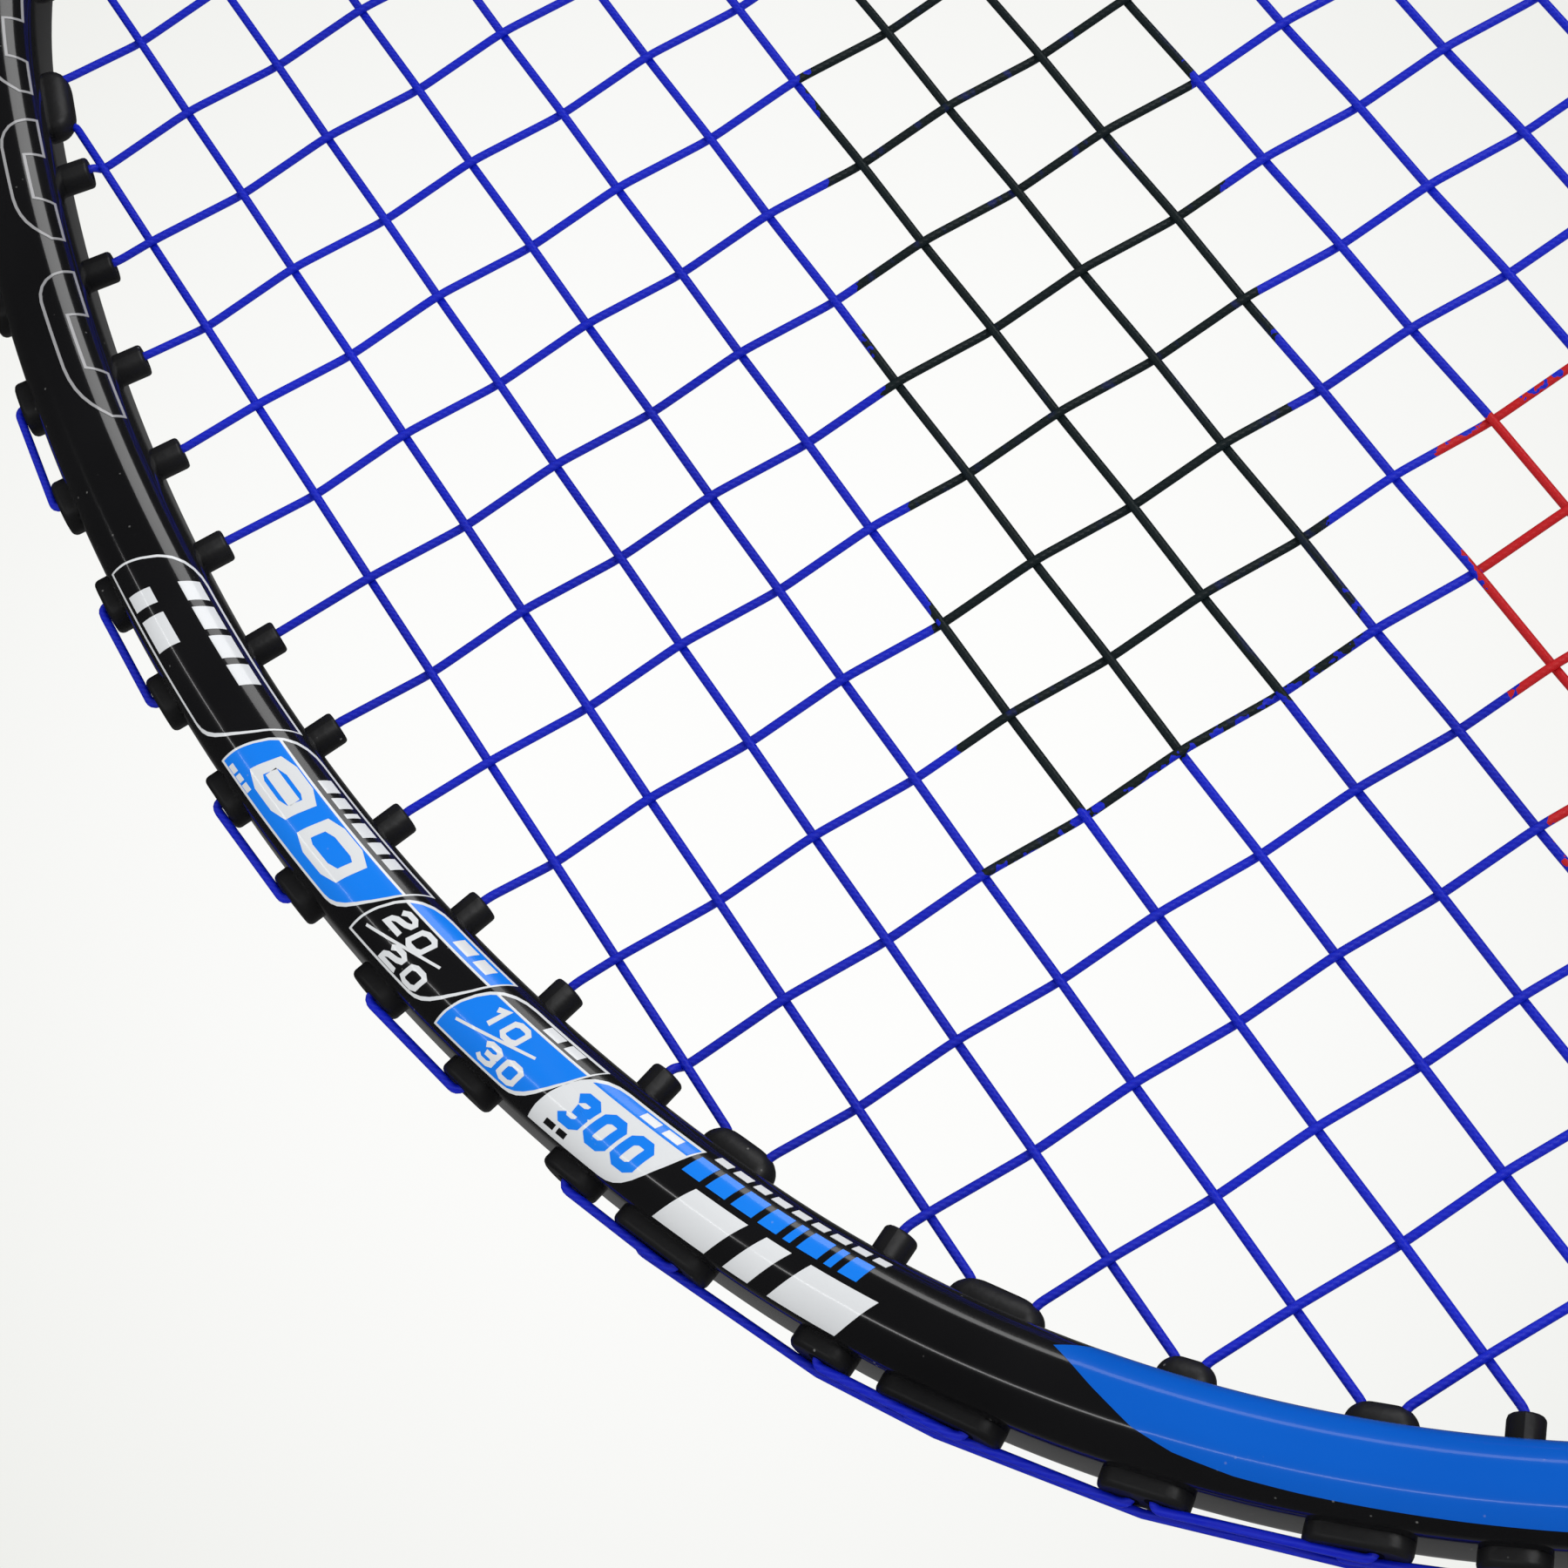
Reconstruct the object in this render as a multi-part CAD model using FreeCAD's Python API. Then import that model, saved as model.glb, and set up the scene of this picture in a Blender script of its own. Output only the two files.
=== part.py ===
"""Badminton racket: hollow carbon hoop, woven string bed, grommets, T-joint, shaft and gripped handle.

All sizes are in millimetres. The origin is the centre of the butt's flat face. +Z runs from the butt
to the tip, X runs across the head, and Y goes through the string bed (the front face looks to -Y).
"""
import FreeCAD, Part
import math
import os

V = FreeCAD.Vector

# Head: the hoop's centreline is three tangent arcs a quarter
RACKET_LENGTH = 675.0
HEAD_HALF_WIDTH = 99.8
TIP_REACH = 117.8
THROAT_REACH = 126.0
TIP_SIDE_ANGLE = 18.5
TIP_END_ANGLE = 62.7
TIP_CORNER_RADIUS = 72.4
THROAT_SIDE_ANGLE = 20.8
THROAT_END_ANGLE = 62.6
THROAT_CORNER_RADIUS = 105.0
TUBE_WIDTH = 7.0
TUBE_DEPTH = 9.2
TUBE_CORNER = 3.0
TUBE_WALL = 1.0

# String bed
MAIN_COUNT = 22
CROSS_COUNT = 22
MAIN_EDGE_GAP = 13.7
TOP_CROSS_GAP = 13.7
BOTTOM_CROSS_GAP = 17.3
STRING_DIAMETER = 0.68
MAIN_WAVE = 0.24
CROSS_WAVE = 0.48
WAVE_RADIUS = 6.0
MOUTH_BEND_RADIUS = 1.2
OUTSIDE_BEND_RADIUS = 0.9
LANE_SHIFT = 0.40
TIE_LANE_SHIFT = 1.20
STRAIGHT_TOLERANCE = 1e-5

# Grommets and tie-offs: strings nearer than the shared spacing pass through one grommet
BARREL_DIAMETER = 2.6
BARREL_PROUD = 2.2
SHARED_BARREL_PROUD = 1.2
STRING_BORE = 1.2
HOLE_CLEARANCE = 0.1
FLANGE_END = 2.4
FLANGE_WIDTH = 3.3
FLANGE_THICKNESS = 1.2
STRING_REST = 0.05
MOUTH_REST = 0.35
SHARED_SPACING = 5.3
TIE_SPACING = 1.7
MAIN_TIE_INDEX = 6
CROSS_TIP_TIE_INDEX = 6
CROSS_THROAT_TIE_INDEX = 8
KNOT_STAND = 3.0
KNOT_TAIL = 3.0

# T-joint and shaft
FAIRING_LENGTH = 28.0
FAIRING_HALF_WIDTH = 14.0
FAIRING_COLLAR_RADIUS = 4.5
FAIRING_WRAP = 2.0
FAIRING_SECTIONS = 6
SLOT_HALF_DEPTH = 1.95
SLOT_ROOM = 0.3
SHAFT_DIAMETER = 7.0
SHAFT_WALL = 0.9
SHAFT_TOP_GAP = 9.0
GLUE_GAP = 0.1
STEM_LENGTH = 36.0
NECK_RADIUS = 1.45
NECK_LENGTH = 3.0
CROSSBAR_HALF_ANGLE = 11.0

# Handle
HANDLE_WIDTH = 24.0
HANDLE_DEPTH = 21.5
HANDLE_BEVEL = 6.0
HANDLE_LENGTH = 166.0
SHAFT_BOTTOM = 95.0
CONE_TOP = 205.0
CONE_BASE_RADIUS = 10.6
CONE_TIP_RADIUS = 4.9
CONE_WAIST_RADIUS = 6.4
SPIGOT_HEIGHT = 20.0
SPIGOT_BASE_RADIUS = 9.0
SPIGOT_TOP_RADIUS = 5.4
CAP_BASE = 2.6
CAP_LIP_HEIGHT = 3.4
CAP_HEIGHT = 18.0
CAP_LIP_OFFSET = 3.6
CAP_FOOT_OFFSET = 1.9
CAP_TOP_OFFSET = 0.7
CAP_EDGE_FILLET = 1.0
BADGE_RADIUS = 7.0
BADGE_THICKNESS = 0.8
WRAP_THICKNESS = 1.6
WRAP_TAPER_BOTTOM = 167.0
WRAP_TOP = 180.0
WRAP_TOP_THICKNESS = 0.6
WRAP_FLARE_TOP = 34.0
COLLAR_THICKNESS = 0.3
COLLAR_BOTTOM = 164.0
COLLAR_TOP = 187.0
STAPLE_HEIGHT = 11.0
STAPLE_WIDTH = 6.0
STAPLE_WIRE = 0.8
STAPLE_LEG = 6.0

WIDEST_Z = RACKET_LENGTH - TUBE_WIDTH / 2 - TIP_REACH
THROAT_Z = WIDEST_Z - THROAT_REACH - TUBE_WIDTH / 2
MAIN_PITCH = 2 * (HEAD_HALF_WIDTH - MAIN_EDGE_GAP) / (MAIN_COUNT - 1)
TOP_CROSS_Z = WIDEST_Z + TIP_REACH - TUBE_WIDTH / 2 - TOP_CROSS_GAP
BOTTOM_CROSS_Z = THROAT_Z + TUBE_WIDTH + BOTTOM_CROSS_GAP
CROSS_PITCH = (TOP_CROSS_Z - BOTTOM_CROSS_Z) / (CROSS_COUNT - 1)
STRING_RADIUS = STRING_DIAMETER / 2
OUTSIDE_HEIGHT = TUBE_WIDTH / 2 + FLANGE_THICKNESS + STRING_REST + STRING_RADIUS
SHAFT_TOP = THROAT_Z - SHAFT_TOP_GAP
X_AXIS = V(1, 0, 0)
Y_AXIS = V(0, 1, 0)
Z_AXIS = V(0, 0, 1)


# ---------------------------------------------------------------- hoop geometry

def side_and_end_radii(reach, side_angle, end_angle, corner_radius):
    """Radii of the side and end arcs that meet the corner arc without a kink."""
    a = math.radians(side_angle)
    g = math.radians(end_angle)
    across = HEAD_HALF_WIDTH - corner_radius * (math.cos(a) - math.cos(g))
    along = reach - corner_radius * (math.sin(g) - math.sin(a))
    det = (1 - math.cos(a)) * (1 - math.sin(g)) - math.cos(g) * math.sin(a)
    side = (across * (1 - math.sin(g)) - math.cos(g) * along) / det
    end = ((1 - math.cos(a)) * along - math.sin(a) * across) / det
    return side, end


def half_hoop(turn, reach, side_angle, end_angle, corner_radius):
    """Five arcs of one half, as (centre x, centre z, radius, start angle, end angle)."""
    side, end = side_and_end_radii(reach, side_angle, end_angle, corner_radius)
    a = math.radians(side_angle)
    flip = 1 if turn == 0 else -1
    side_x = HEAD_HALF_WIDTH - side
    corner_x = side_x + (side - corner_radius) * math.cos(a)
    corner_z = (side - corner_radius) * math.sin(a)
    spans = [
        (side_x, 0, side, 0, side_angle),
        (corner_x, corner_z, corner_radius, side_angle, end_angle),
        (0, reach - end, end, end_angle, 180 - end_angle),
        (-corner_x, corner_z, corner_radius, 180 - end_angle, 180 - side_angle),
        (-side_x, 0, side, 180 - side_angle, 180),
    ]
    return [(flip * x, WIDEST_Z + flip * z, r, turn + s, turn + e) for x, z, r, s, e in spans]


HOOP = half_hoop(0, TIP_REACH, TIP_SIDE_ANGLE, TIP_END_ANGLE, TIP_CORNER_RADIUS)
HOOP += half_hoop(180, THROAT_REACH, THROAT_SIDE_ANGLE, THROAT_END_ANGLE, THROAT_CORNER_RADIUS)


def main_x(i):
    return (i - (MAIN_COUNT - 1) / 2) * MAIN_PITCH


def cross_z(k):
    return TOP_CROSS_Z - k * CROSS_PITCH


def arc_length_before(index):
    """Length of the centreline up to the start of an arc."""
    return sum(r * math.radians(e - s) for x, z, r, s, e in HOOP[:index])


def mouth_inset(proud):
    """How far inside the hoop's centreline a string bends into a barrel that stands proud."""
    return TUBE_WIDTH / 2 + proud + MOUTH_REST


def hoop_station(key, proud):
    """Where a straight string reaches the hoop: its mouth point, the outward direction and the place.

    The key is (family, number, far), where far is +1 or -1 along the string.
    """
    family, number, far = key
    axis = 0 if family == "main" else 1
    value = main_x(number) if family == "main" else cross_z(number)
    for index, (cx, cz, radius, start, end) in enumerate(HOOP):
        r = radius - mouth_inset(proud)
        centre = (cx, cz)
        offset = value - centre[axis]
        if abs(offset) >= r:
            continue
        reach = far * math.sqrt(r * r - offset * offset)
        x, z = (offset, reach) if axis == 0 else (reach, offset)
        angle = math.degrees(math.atan2(z, x)) % 360
        if start <= angle <= end or start <= angle + 360 <= end:
            place = arc_length_before(index) + radius * math.radians(angle - start)
            normal = V(x / r, 0, z / r)
            return {"mouth": V(cx + x, 0, cz + z), "normal": normal, "place": place}
    raise ValueError("a string misses the hoop")


def tube_section(inset):
    """Rounded rectangle of the tube, centred on the origin in the XY plane, as a wire."""
    hx = TUBE_WIDTH / 2 - inset
    hy = TUBE_DEPTH / 2 - inset
    return rounded_rectangle(hx, hy, TUBE_CORNER - inset)


def rounded_rectangle(hx, hy, r):
    """Rounded rectangle in the XY plane; a full half-round end when r equals a half side."""
    edges = []
    corners = [(hx - r, hy - r, 0), (r - hx, hy - r, 90), (r - hx, r - hy, 180), (hx - r, r - hy, 270)]
    for n, (x, y, turn) in enumerate(corners):
        arc = Part.makeCircle(r, V(x, y, 0), Z_AXIS, turn, turn + 90)
        edges.append(arc)
        nx, ny, next_turn = corners[(n + 1) % 4]
        t = math.radians(turn + 90)
        a = V(x + r * math.cos(t), y + r * math.sin(t), 0)
        b = V(nx + r * math.cos(t), ny + r * math.sin(t), 0)
        if (b - a).Length > 1e-6:
            edges.append(Part.LineSegment(a, b).toShape())
    return Part.Wire(edges)


def hoop_segment(arc, section, start=None, end=None):
    """Solid made by turning a section about one arc's centre."""
    cx, cz, radius, first, last = arc
    first = first if start is None else start
    last = last if end is None else end
    face = section.copy()
    face.translate(V(radius, 0, 0))
    face.rotate(V(0, 0, 0), Y_AXIS, -first)
    solid = face.revolve(V(0, 0, 0), V(0, -1, 0), last - first)
    solid.translate(V(cx, 0, cz))
    return solid


# ---------------------------------------------------------------- strings

def all_stations():
    """Every place where a string passes the tube, keyed by (family, number, end)."""
    stations = {}
    for far in (1, -1):
        for i in range(MAIN_COUNT):
            stations[("main", i, far)] = hoop_station(("main", i, far), SHARED_BARREL_PROUD)
        for k in range(CROSS_COUNT):
            stations[("cross", k, far)] = hoop_station(("cross", k, far), SHARED_BARREL_PROUD)
    ties = [("main tie", MAIN_TIE_INDEX, -1), ("main tie", MAIN_COUNT - 1 - MAIN_TIE_INDEX, -1)]
    ties += [("cross tie", CROSS_TIP_TIE_INDEX, 1), ("cross tie", CROSS_THROAT_TIE_INDEX, -1)]
    for family, i, far in ties:
        host = stations[("main", i, far)]
        onward = Y_AXIS.cross(host["normal"]) * -1
        away = 1 if onward.x * host["mouth"].x > 0 else -1
        stations[(family, i, far)] = {
            "mouth": host["mouth"] + onward * (away * TIE_SPACING),
            "normal": host["normal"],
            "place": host["place"] + away * TIE_SPACING,
            "tall place": hoop_station(("main", i, far), BARREL_PROUD)["place"] + away * TIE_SPACING,
        }
    for key, station in stations.items():
        station["lane"] = LANE_SHIFT if key[0].startswith("main") else -LANE_SHIFT
        if "tall place" not in station:
            station["tall place"] = hoop_station(key, BARREL_PROUD)["place"]
    return stations


def grommet_clusters(stations):
    """Groups of neighbouring stations that share one grommet, in order round the hoop."""
    keys = sorted(stations, key=lambda key: stations[key]["place"])
    clusters = [[keys[0]]]
    for key in keys[1:]:
        last = clusters[-1][-1]
        if stations[key]["place"] - stations[last]["place"] < SHARED_SPACING:
            clusters[-1].append(key)
        else:
            clusters.append([key])
    return join_crowded_singles(stations, clusters)


def join_crowded_singles(stations, clusters):
    """Single grommets stand taller: two that would meet at that height become one shared grommet."""
    joined = [clusters[0]]
    for cluster in clusters[1:]:
        last = joined[-1]
        gap = stations[cluster[0]]["tall place"] - stations[last[0]]["tall place"]
        if len(last) == 1 and len(cluster) == 1 and gap < SHARED_SPACING:
            joined[-1] = last + cluster
        else:
            joined.append(cluster)
    return joined


def seat_cluster(stations, cluster):
    """Give every bore of a grommet the grommet's own direction, its mouth and its outer point."""
    proud = SHARED_BARREL_PROUD
    if len(cluster) == 1:
        proud = BARREL_PROUD
        stations[cluster[0]].update(hoop_station(cluster[0], proud))
    normal = V(0, 0, 0)
    middle = V(0, 0, 0)
    for key in cluster:
        normal += stations[key]["normal"]
        middle += stations[key]["mouth"] / len(cluster)
    normal.normalize()
    tangent = Y_AXIS.cross(normal)
    bores = []
    for key in cluster:
        station = stations[key]
        along = (station["mouth"] - middle).dot(tangent)
        station["bore"] = middle + tangent * along + Y_AXIS * station["lane"]
        station["outer"] = station["bore"] + normal * (mouth_inset(proud) + OUTSIDE_HEIGHT)
        bores.append((along, station["lane"]))
    centre = middle + normal * mouth_inset(proud)
    return {"centre": centre, "normal": normal, "tangent": tangent, "bores": bores, "keys": cluster, "proud": proud}


STATIONS = all_stations()
GROMMETS = [seat_cluster(STATIONS, cluster) for cluster in grommet_clusters(STATIONS)]
HOOP_LENGTH = arc_length_before(len(HOOP))


def outside_run(start, finish, lane):
    """Outer points from one station to another, over each grommet flange that lies between them."""
    a = STATIONS[start]["place"]
    b = STATIONS[finish]["place"]
    if a - b > HOOP_LENGTH / 2:
        b += HOOP_LENGTH
    if b - a > HOOP_LENGTH / 2:
        b -= HOOP_LENGTH
    low, high = min(a, b), max(a, b)
    passed = []
    for grommet in GROMMETS:
        if start in grommet["keys"] or finish in grommet["keys"]:
            continue
        places = [STATIONS[key]["place"] for key in grommet["keys"]]
        for turn in (-HOOP_LENGTH, 0, HOOP_LENGTH):
            place = sum(places) / len(places) + turn
            if low < place < high:
                top = grommet["centre"] + grommet["normal"] * OUTSIDE_HEIGHT
                passed.append((place, V(top.x, lane, top.z)))
    passed.sort(key=lambda item: item[0], reverse=a > b)
    return [point for place, point in passed]


def crossing_height(family, i, k):
    """Height of a string where it crosses another: mains and crosses weave in turn."""
    side = 1 if (i + k) % 2 == 0 else -1
    return side * MAIN_WAVE if family == "main" else -side * CROSS_WAVE


def strand(family, number, start_far):
    """Points of one straight strand, from its mouth at start_far to its other mouth."""
    first = STATIONS[(family, number, start_far)]["bore"]
    last = STATIONS[(family, number, -start_far)]["bore"]
    along = Z_AXIS if family == "main" else X_AXIS
    low, high = sorted((first.dot(along), last.dot(along)))
    points = []
    for other in range(CROSS_COUNT if family == "main" else MAIN_COUNT):
        if family == "main":
            point = V(main_x(number), crossing_height("main", number, other), cross_z(other))
            partner = ("cross", other)
        else:
            point = V(main_x(other), crossing_height("cross", other, number), cross_z(number))
            partner = ("main", other)
        across = X_AXIS if family == "main" else Z_AXIS
        ends = sorted(STATIONS[partner + (far,)]["bore"].dot(across) for far in (1, -1))
        inside = low < point.dot(along) < high and ends[0] < point.dot(across) < ends[1]
        if inside:
            points.append(point)
    points.sort(key=lambda point: point.dot(along), reverse=first.dot(along) > last.dot(along))
    bends = [(point, WAVE_RADIUS) for point in points]
    return [(first, MOUTH_BEND_RADIUS)] + bends + [(last, MOUTH_BEND_RADIUS)]


def loop(start, finish, lane):
    """Bends of the short run outside the hoop, from one station's bore to another's."""
    bends = [(STATIONS[start]["outer"], OUTSIDE_BEND_RADIUS)]
    bends += [(point, WAVE_RADIUS) for point in outside_run(start, finish, lane)]
    return bends + [(STATIONS[finish]["outer"], OUTSIDE_BEND_RADIUS)]


def knot_side(tie):
    """Point beside a tie-off's main string where its knot sits, and the knot's centre."""
    family, i, far = tie
    host = STATIONS[("main", i, far)]["bore"]
    centre = host - Z_AXIS * (far * KNOT_STAND)
    side = 1 if STATIONS[tie]["bore"].x > host.x else -1
    return centre + X_AXIS * (side * (STRING_DIAMETER * 2 - STRING_REST)), centre


def tie_off(tie):
    """Bends through a tie-off bore to the knot inside the head."""
    side, centre = knot_side(tie)
    return [(STATIONS[tie]["bore"], MOUTH_BEND_RADIUS), (side, 0)]


def main_string_route():
    """The mains as one string: from the knot at lower left, across the head, to the one at lower right."""
    left_tie = ("main tie", MAIN_TIE_INDEX, -1)
    right_tie = ("main tie", MAIN_COUNT - 1 - MAIN_TIE_INDEX, -1)
    route = tie_off(left_tie)[::-1]
    route += loop(left_tie, ("main", 0, -1), TIE_LANE_SHIFT)
    far = -1
    for i in range(MAIN_COUNT):
        route += strand("main", i, far)
        far = -far
        if i < MAIN_COUNT - 1:
            route += loop(("main", i, far), ("main", i + 1, far), LANE_SHIFT)
    route += loop(("main", MAIN_COUNT - 1, far), right_tie, TIE_LANE_SHIFT)
    return route + tie_off(right_tie)


def cross_string_route():
    """The crosses as one string: from the knot near the tip, down the head, to the one near the throat."""
    first_tie = ("cross tie", CROSS_TIP_TIE_INDEX, 1)
    last_tie = ("cross tie", CROSS_THROAT_TIE_INDEX, -1)
    route = tie_off(first_tie)[::-1]
    route += loop(first_tie, ("cross", 0, -1), -LANE_SHIFT)
    far = -1
    for k in range(CROSS_COUNT):
        route += strand("cross", k, far)
        far = -far
        if k < CROSS_COUNT - 1:
            route += loop(("cross", k, far), ("cross", k + 1, far), -LANE_SHIFT)
    route += loop(("cross", CROSS_COUNT - 1, far), last_tie, -LANE_SHIFT)
    return route + tie_off(last_tie)


def string_solid(route):
    """A round string along straight runs joined by tangent arcs; returns the solid and its length."""
    points = [point for point, radius in route]
    start = points[0]
    heading = (points[1] - points[0]).normalize()
    edge = Part.makeCircle(STRING_RADIUS, start, heading)
    faces = [Part.Face(Part.Wire(edge))]
    length = 0.0
    for n in range(1, len(points)):
        corner = points[n]
        bend = None
        run_end = corner
        if n < len(points) - 1 and not straight_on(points[n - 1], corner, points[n + 1]):
            bend = corner_arc(points[n - 1], corner, points[n + 1], route[n][1])
            run_end = bend["start"]
        run = run_end - start
        faces.append(edge.extrude(run))
        edge.translate(run)
        length += run.Length
        start = run_end
        if bend:
            faces.append(edge.revolve(bend["centre"], bend["axis"], math.degrees(bend["turn"])))
            edge.rotate(bend["centre"], bend["axis"], math.degrees(bend["turn"]))
            length += bend["radius"] * bend["turn"]
            start = bend["end"]
    faces.append(Part.Face(Part.Wire(edge)))
    skin = Part.makeCompound(faces)
    skin.sewShape(1e-4)
    solid = Part.Solid(skin.Shells[0])
    if solid.Volume < 0:
        solid.reverse()
    return solid, length


def straight_on(before, corner, after):
    """Whether a route passes a point without turning, so that it needs no bend there."""
    return (corner - before).getAngle(after - corner) < STRAIGHT_TOLERANCE


def corner_arc(before, corner, after, wanted_radius):
    """The tangent arc that rounds one corner of a route, no larger than its two runs allow."""
    arriving = (corner - before).normalize()
    leaving = (after - corner).normalize()
    turn = arriving.getAngle(leaving)
    shorter = min((corner - before).Length, (after - corner).Length)
    half = math.tan(turn / 2)
    tangent = min(wanted_radius * half, 0.45 * shorter)
    radius = tangent / half
    inward = (leaving - arriving * math.cos(turn)).normalize()
    start = corner - arriving * tangent
    return {
        "start": start,
        "end": corner + leaving * tangent,
        "centre": start + inward * radius,
        "axis": arriving.cross(leaving).normalize(),
        "radius": radius,
        "turn": turn,
    }


def knot(tie):
    """Two turns of string round the main beside a tie-off, with a short tail."""
    side, centre = knot_side(tie)
    turn_radius = STRING_DIAMETER + STRING_REST
    turns = []
    for step in (-0.45, 0.45):
        place = centre + Z_AXIS * (step * STRING_DIAMETER)
        turns.append(Part.makeTorus(turn_radius, STRING_RADIUS, place, Z_AXIS))
    tail_start = centre - Y_AXIS * turn_radius
    tail = Part.makeCylinder(STRING_RADIUS, KNOT_TAIL, tail_start, V(-0.5, -0.4, -0.75 * tie[2]))
    return turns[0].fuse([turns[1], tail])


# ---------------------------------------------------------------- grommets

def oriented(shape, grommet):
    """Move a shape drawn with X along the hoop and Z outwards to a grommet's place."""
    placement = FreeCAD.Matrix()
    tangent, normal, centre = grommet["tangent"], grommet["normal"], grommet["centre"]
    placement.A11, placement.A21, placement.A31 = tangent.x, tangent.y, tangent.z
    placement.A12, placement.A22, placement.A32 = Y_AXIS.x, Y_AXIS.y, Y_AXIS.z
    placement.A13, placement.A23, placement.A33 = normal.x, normal.y, normal.z
    placement.A14, placement.A24, placement.A34 = centre.x, centre.y, centre.z
    moved = shape.copy()
    moved.Placement = FreeCAD.Placement(placement)
    return moved


def bore_span(grommet):
    """Lowest and highest bore position along a grommet."""
    places = [along for along, lane in grommet["bores"]]
    return min(places), max(places)


def stadium(low, high, radius, bottom, top):
    """Upright prism whose outline is a slot with round ends centred at low and high."""
    middle = (low + high) / 2
    outline = rounded_rectangle((high - low) / 2 + radius, radius, radius)
    outline.translate(V(middle, 0, bottom))
    return Part.Face(outline).extrude(V(0, 0, top - bottom))


def hole_cutter(grommet):
    """The hole that a grommet's barrel needs, right through the tube."""
    low, high = bore_span(grommet)
    radius = BARREL_DIAMETER / 2 + HOLE_CLEARANCE
    return oriented(stadium(low, high, radius, -TUBE_WIDTH, TUBE_WIDTH), grommet)


def grommet_solid(grommet):
    """A barrel through the tube with an oblong flange outside and one bore for each string."""
    low, high = bore_span(grommet)
    inner_end = -TUBE_WIDTH / 2 - grommet["proud"]
    flange_seat = TUBE_WIDTH / 2
    flange_top = flange_seat + FLANGE_THICKNESS
    barrel = stadium(low, high, BARREL_DIAMETER / 2, inner_end, flange_top)
    flange_radius = FLANGE_WIDTH / 2
    reach = FLANGE_END - flange_radius
    flange = stadium(low - reach, high + reach, flange_radius, flange_seat, flange_top)
    body = barrel.fuse(flange)
    bores = []
    for along, lane in grommet["bores"]:
        foot = V(along, lane, inner_end)
        bores.append(Part.makeCylinder(STRING_BORE / 2, flange_top - inner_end, foot, Z_AXIS))
    return oriented(body.cut(bores), grommet)


def grommet_node(grommet):
    """Name of the group that a grommet belongs to."""
    x = grommet["centre"].x
    z = grommet["centre"].z
    angle = math.degrees(math.atan2(grommet["normal"].z, abs(grommet["normal"].x)))
    side = "left" if x < 0 else "right"
    if len(grommet["keys"]) > 1:
        return ("upper_" if z > WIDEST_Z else "lower_") + side + "_shared_grommets"
    if angle > TIP_END_ANGLE:
        return "tip_grommets"
    if angle < -THROAT_END_ANGLE:
        return "throat_grommets"
    return side + "_grommets"


# ---------------------------------------------------------------- hoop, throat and shaft

def head_frame():
    section = Part.Face(tube_section(0)).cut(Part.Face(tube_section(TUBE_WALL))).Faces[0]
    segments = [hoop_segment(arc, section) for arc in HOOP]
    tube = segments[0].fuse(segments[1:])
    cutters = [hole_cutter(grommet) for grommet in GROMMETS]
    neck_room = NECK_RADIUS + GLUE_GAP
    neck_top = THROAT_Z + TUBE_WIDTH / 2
    cutters.append(Part.makeCylinder(neck_room, neck_top - THROAT_Z + 1, V(0, 0, THROAT_Z - 1), Z_AXIS))
    return tube.cut(cutters)


def t_joint_core():
    """Stem glued inside the shaft, with a curved bar inside the hoop's cavity."""
    throat_arc = HOOP[7]
    middle = (throat_arc[3] + throat_arc[4]) / 2
    bar_face = Part.Face(tube_section(TUBE_WALL + GLUE_GAP))
    bar = hoop_segment(throat_arc, bar_face, middle - CROSSBAR_HALF_ANGLE, middle + CROSSBAR_HALF_ANGLE)
    bar = bar.cut([hole_cutter(grommet) for grommet in GROMMETS if grommet["normal"].z < -0.5])
    stem_radius = SHAFT_DIAMETER / 2 - SHAFT_WALL - GLUE_GAP
    stem = Part.makeCylinder(stem_radius, STEM_LENGTH - NECK_LENGTH, V(0, 0, THROAT_Z - STEM_LENGTH), Z_AXIS)
    neck_height = NECK_LENGTH + TUBE_WALL + 1
    neck = Part.makeCylinder(NECK_RADIUS, neck_height, V(0, 0, THROAT_Z - NECK_LENGTH), Z_AXIS)
    return bar.fuse([stem, neck])


def ellipse_wire(half_width, half_depth, z):
    if half_width - half_depth < 1e-3:
        return Part.Wire(Part.makeCircle(half_width, V(0, 0, z), Z_AXIS))
    curve = Part.Ellipse(V(half_width, 0, z), V(0, half_depth, z), V(0, 0, z))
    return Part.Wire(curve.toShape())


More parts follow.
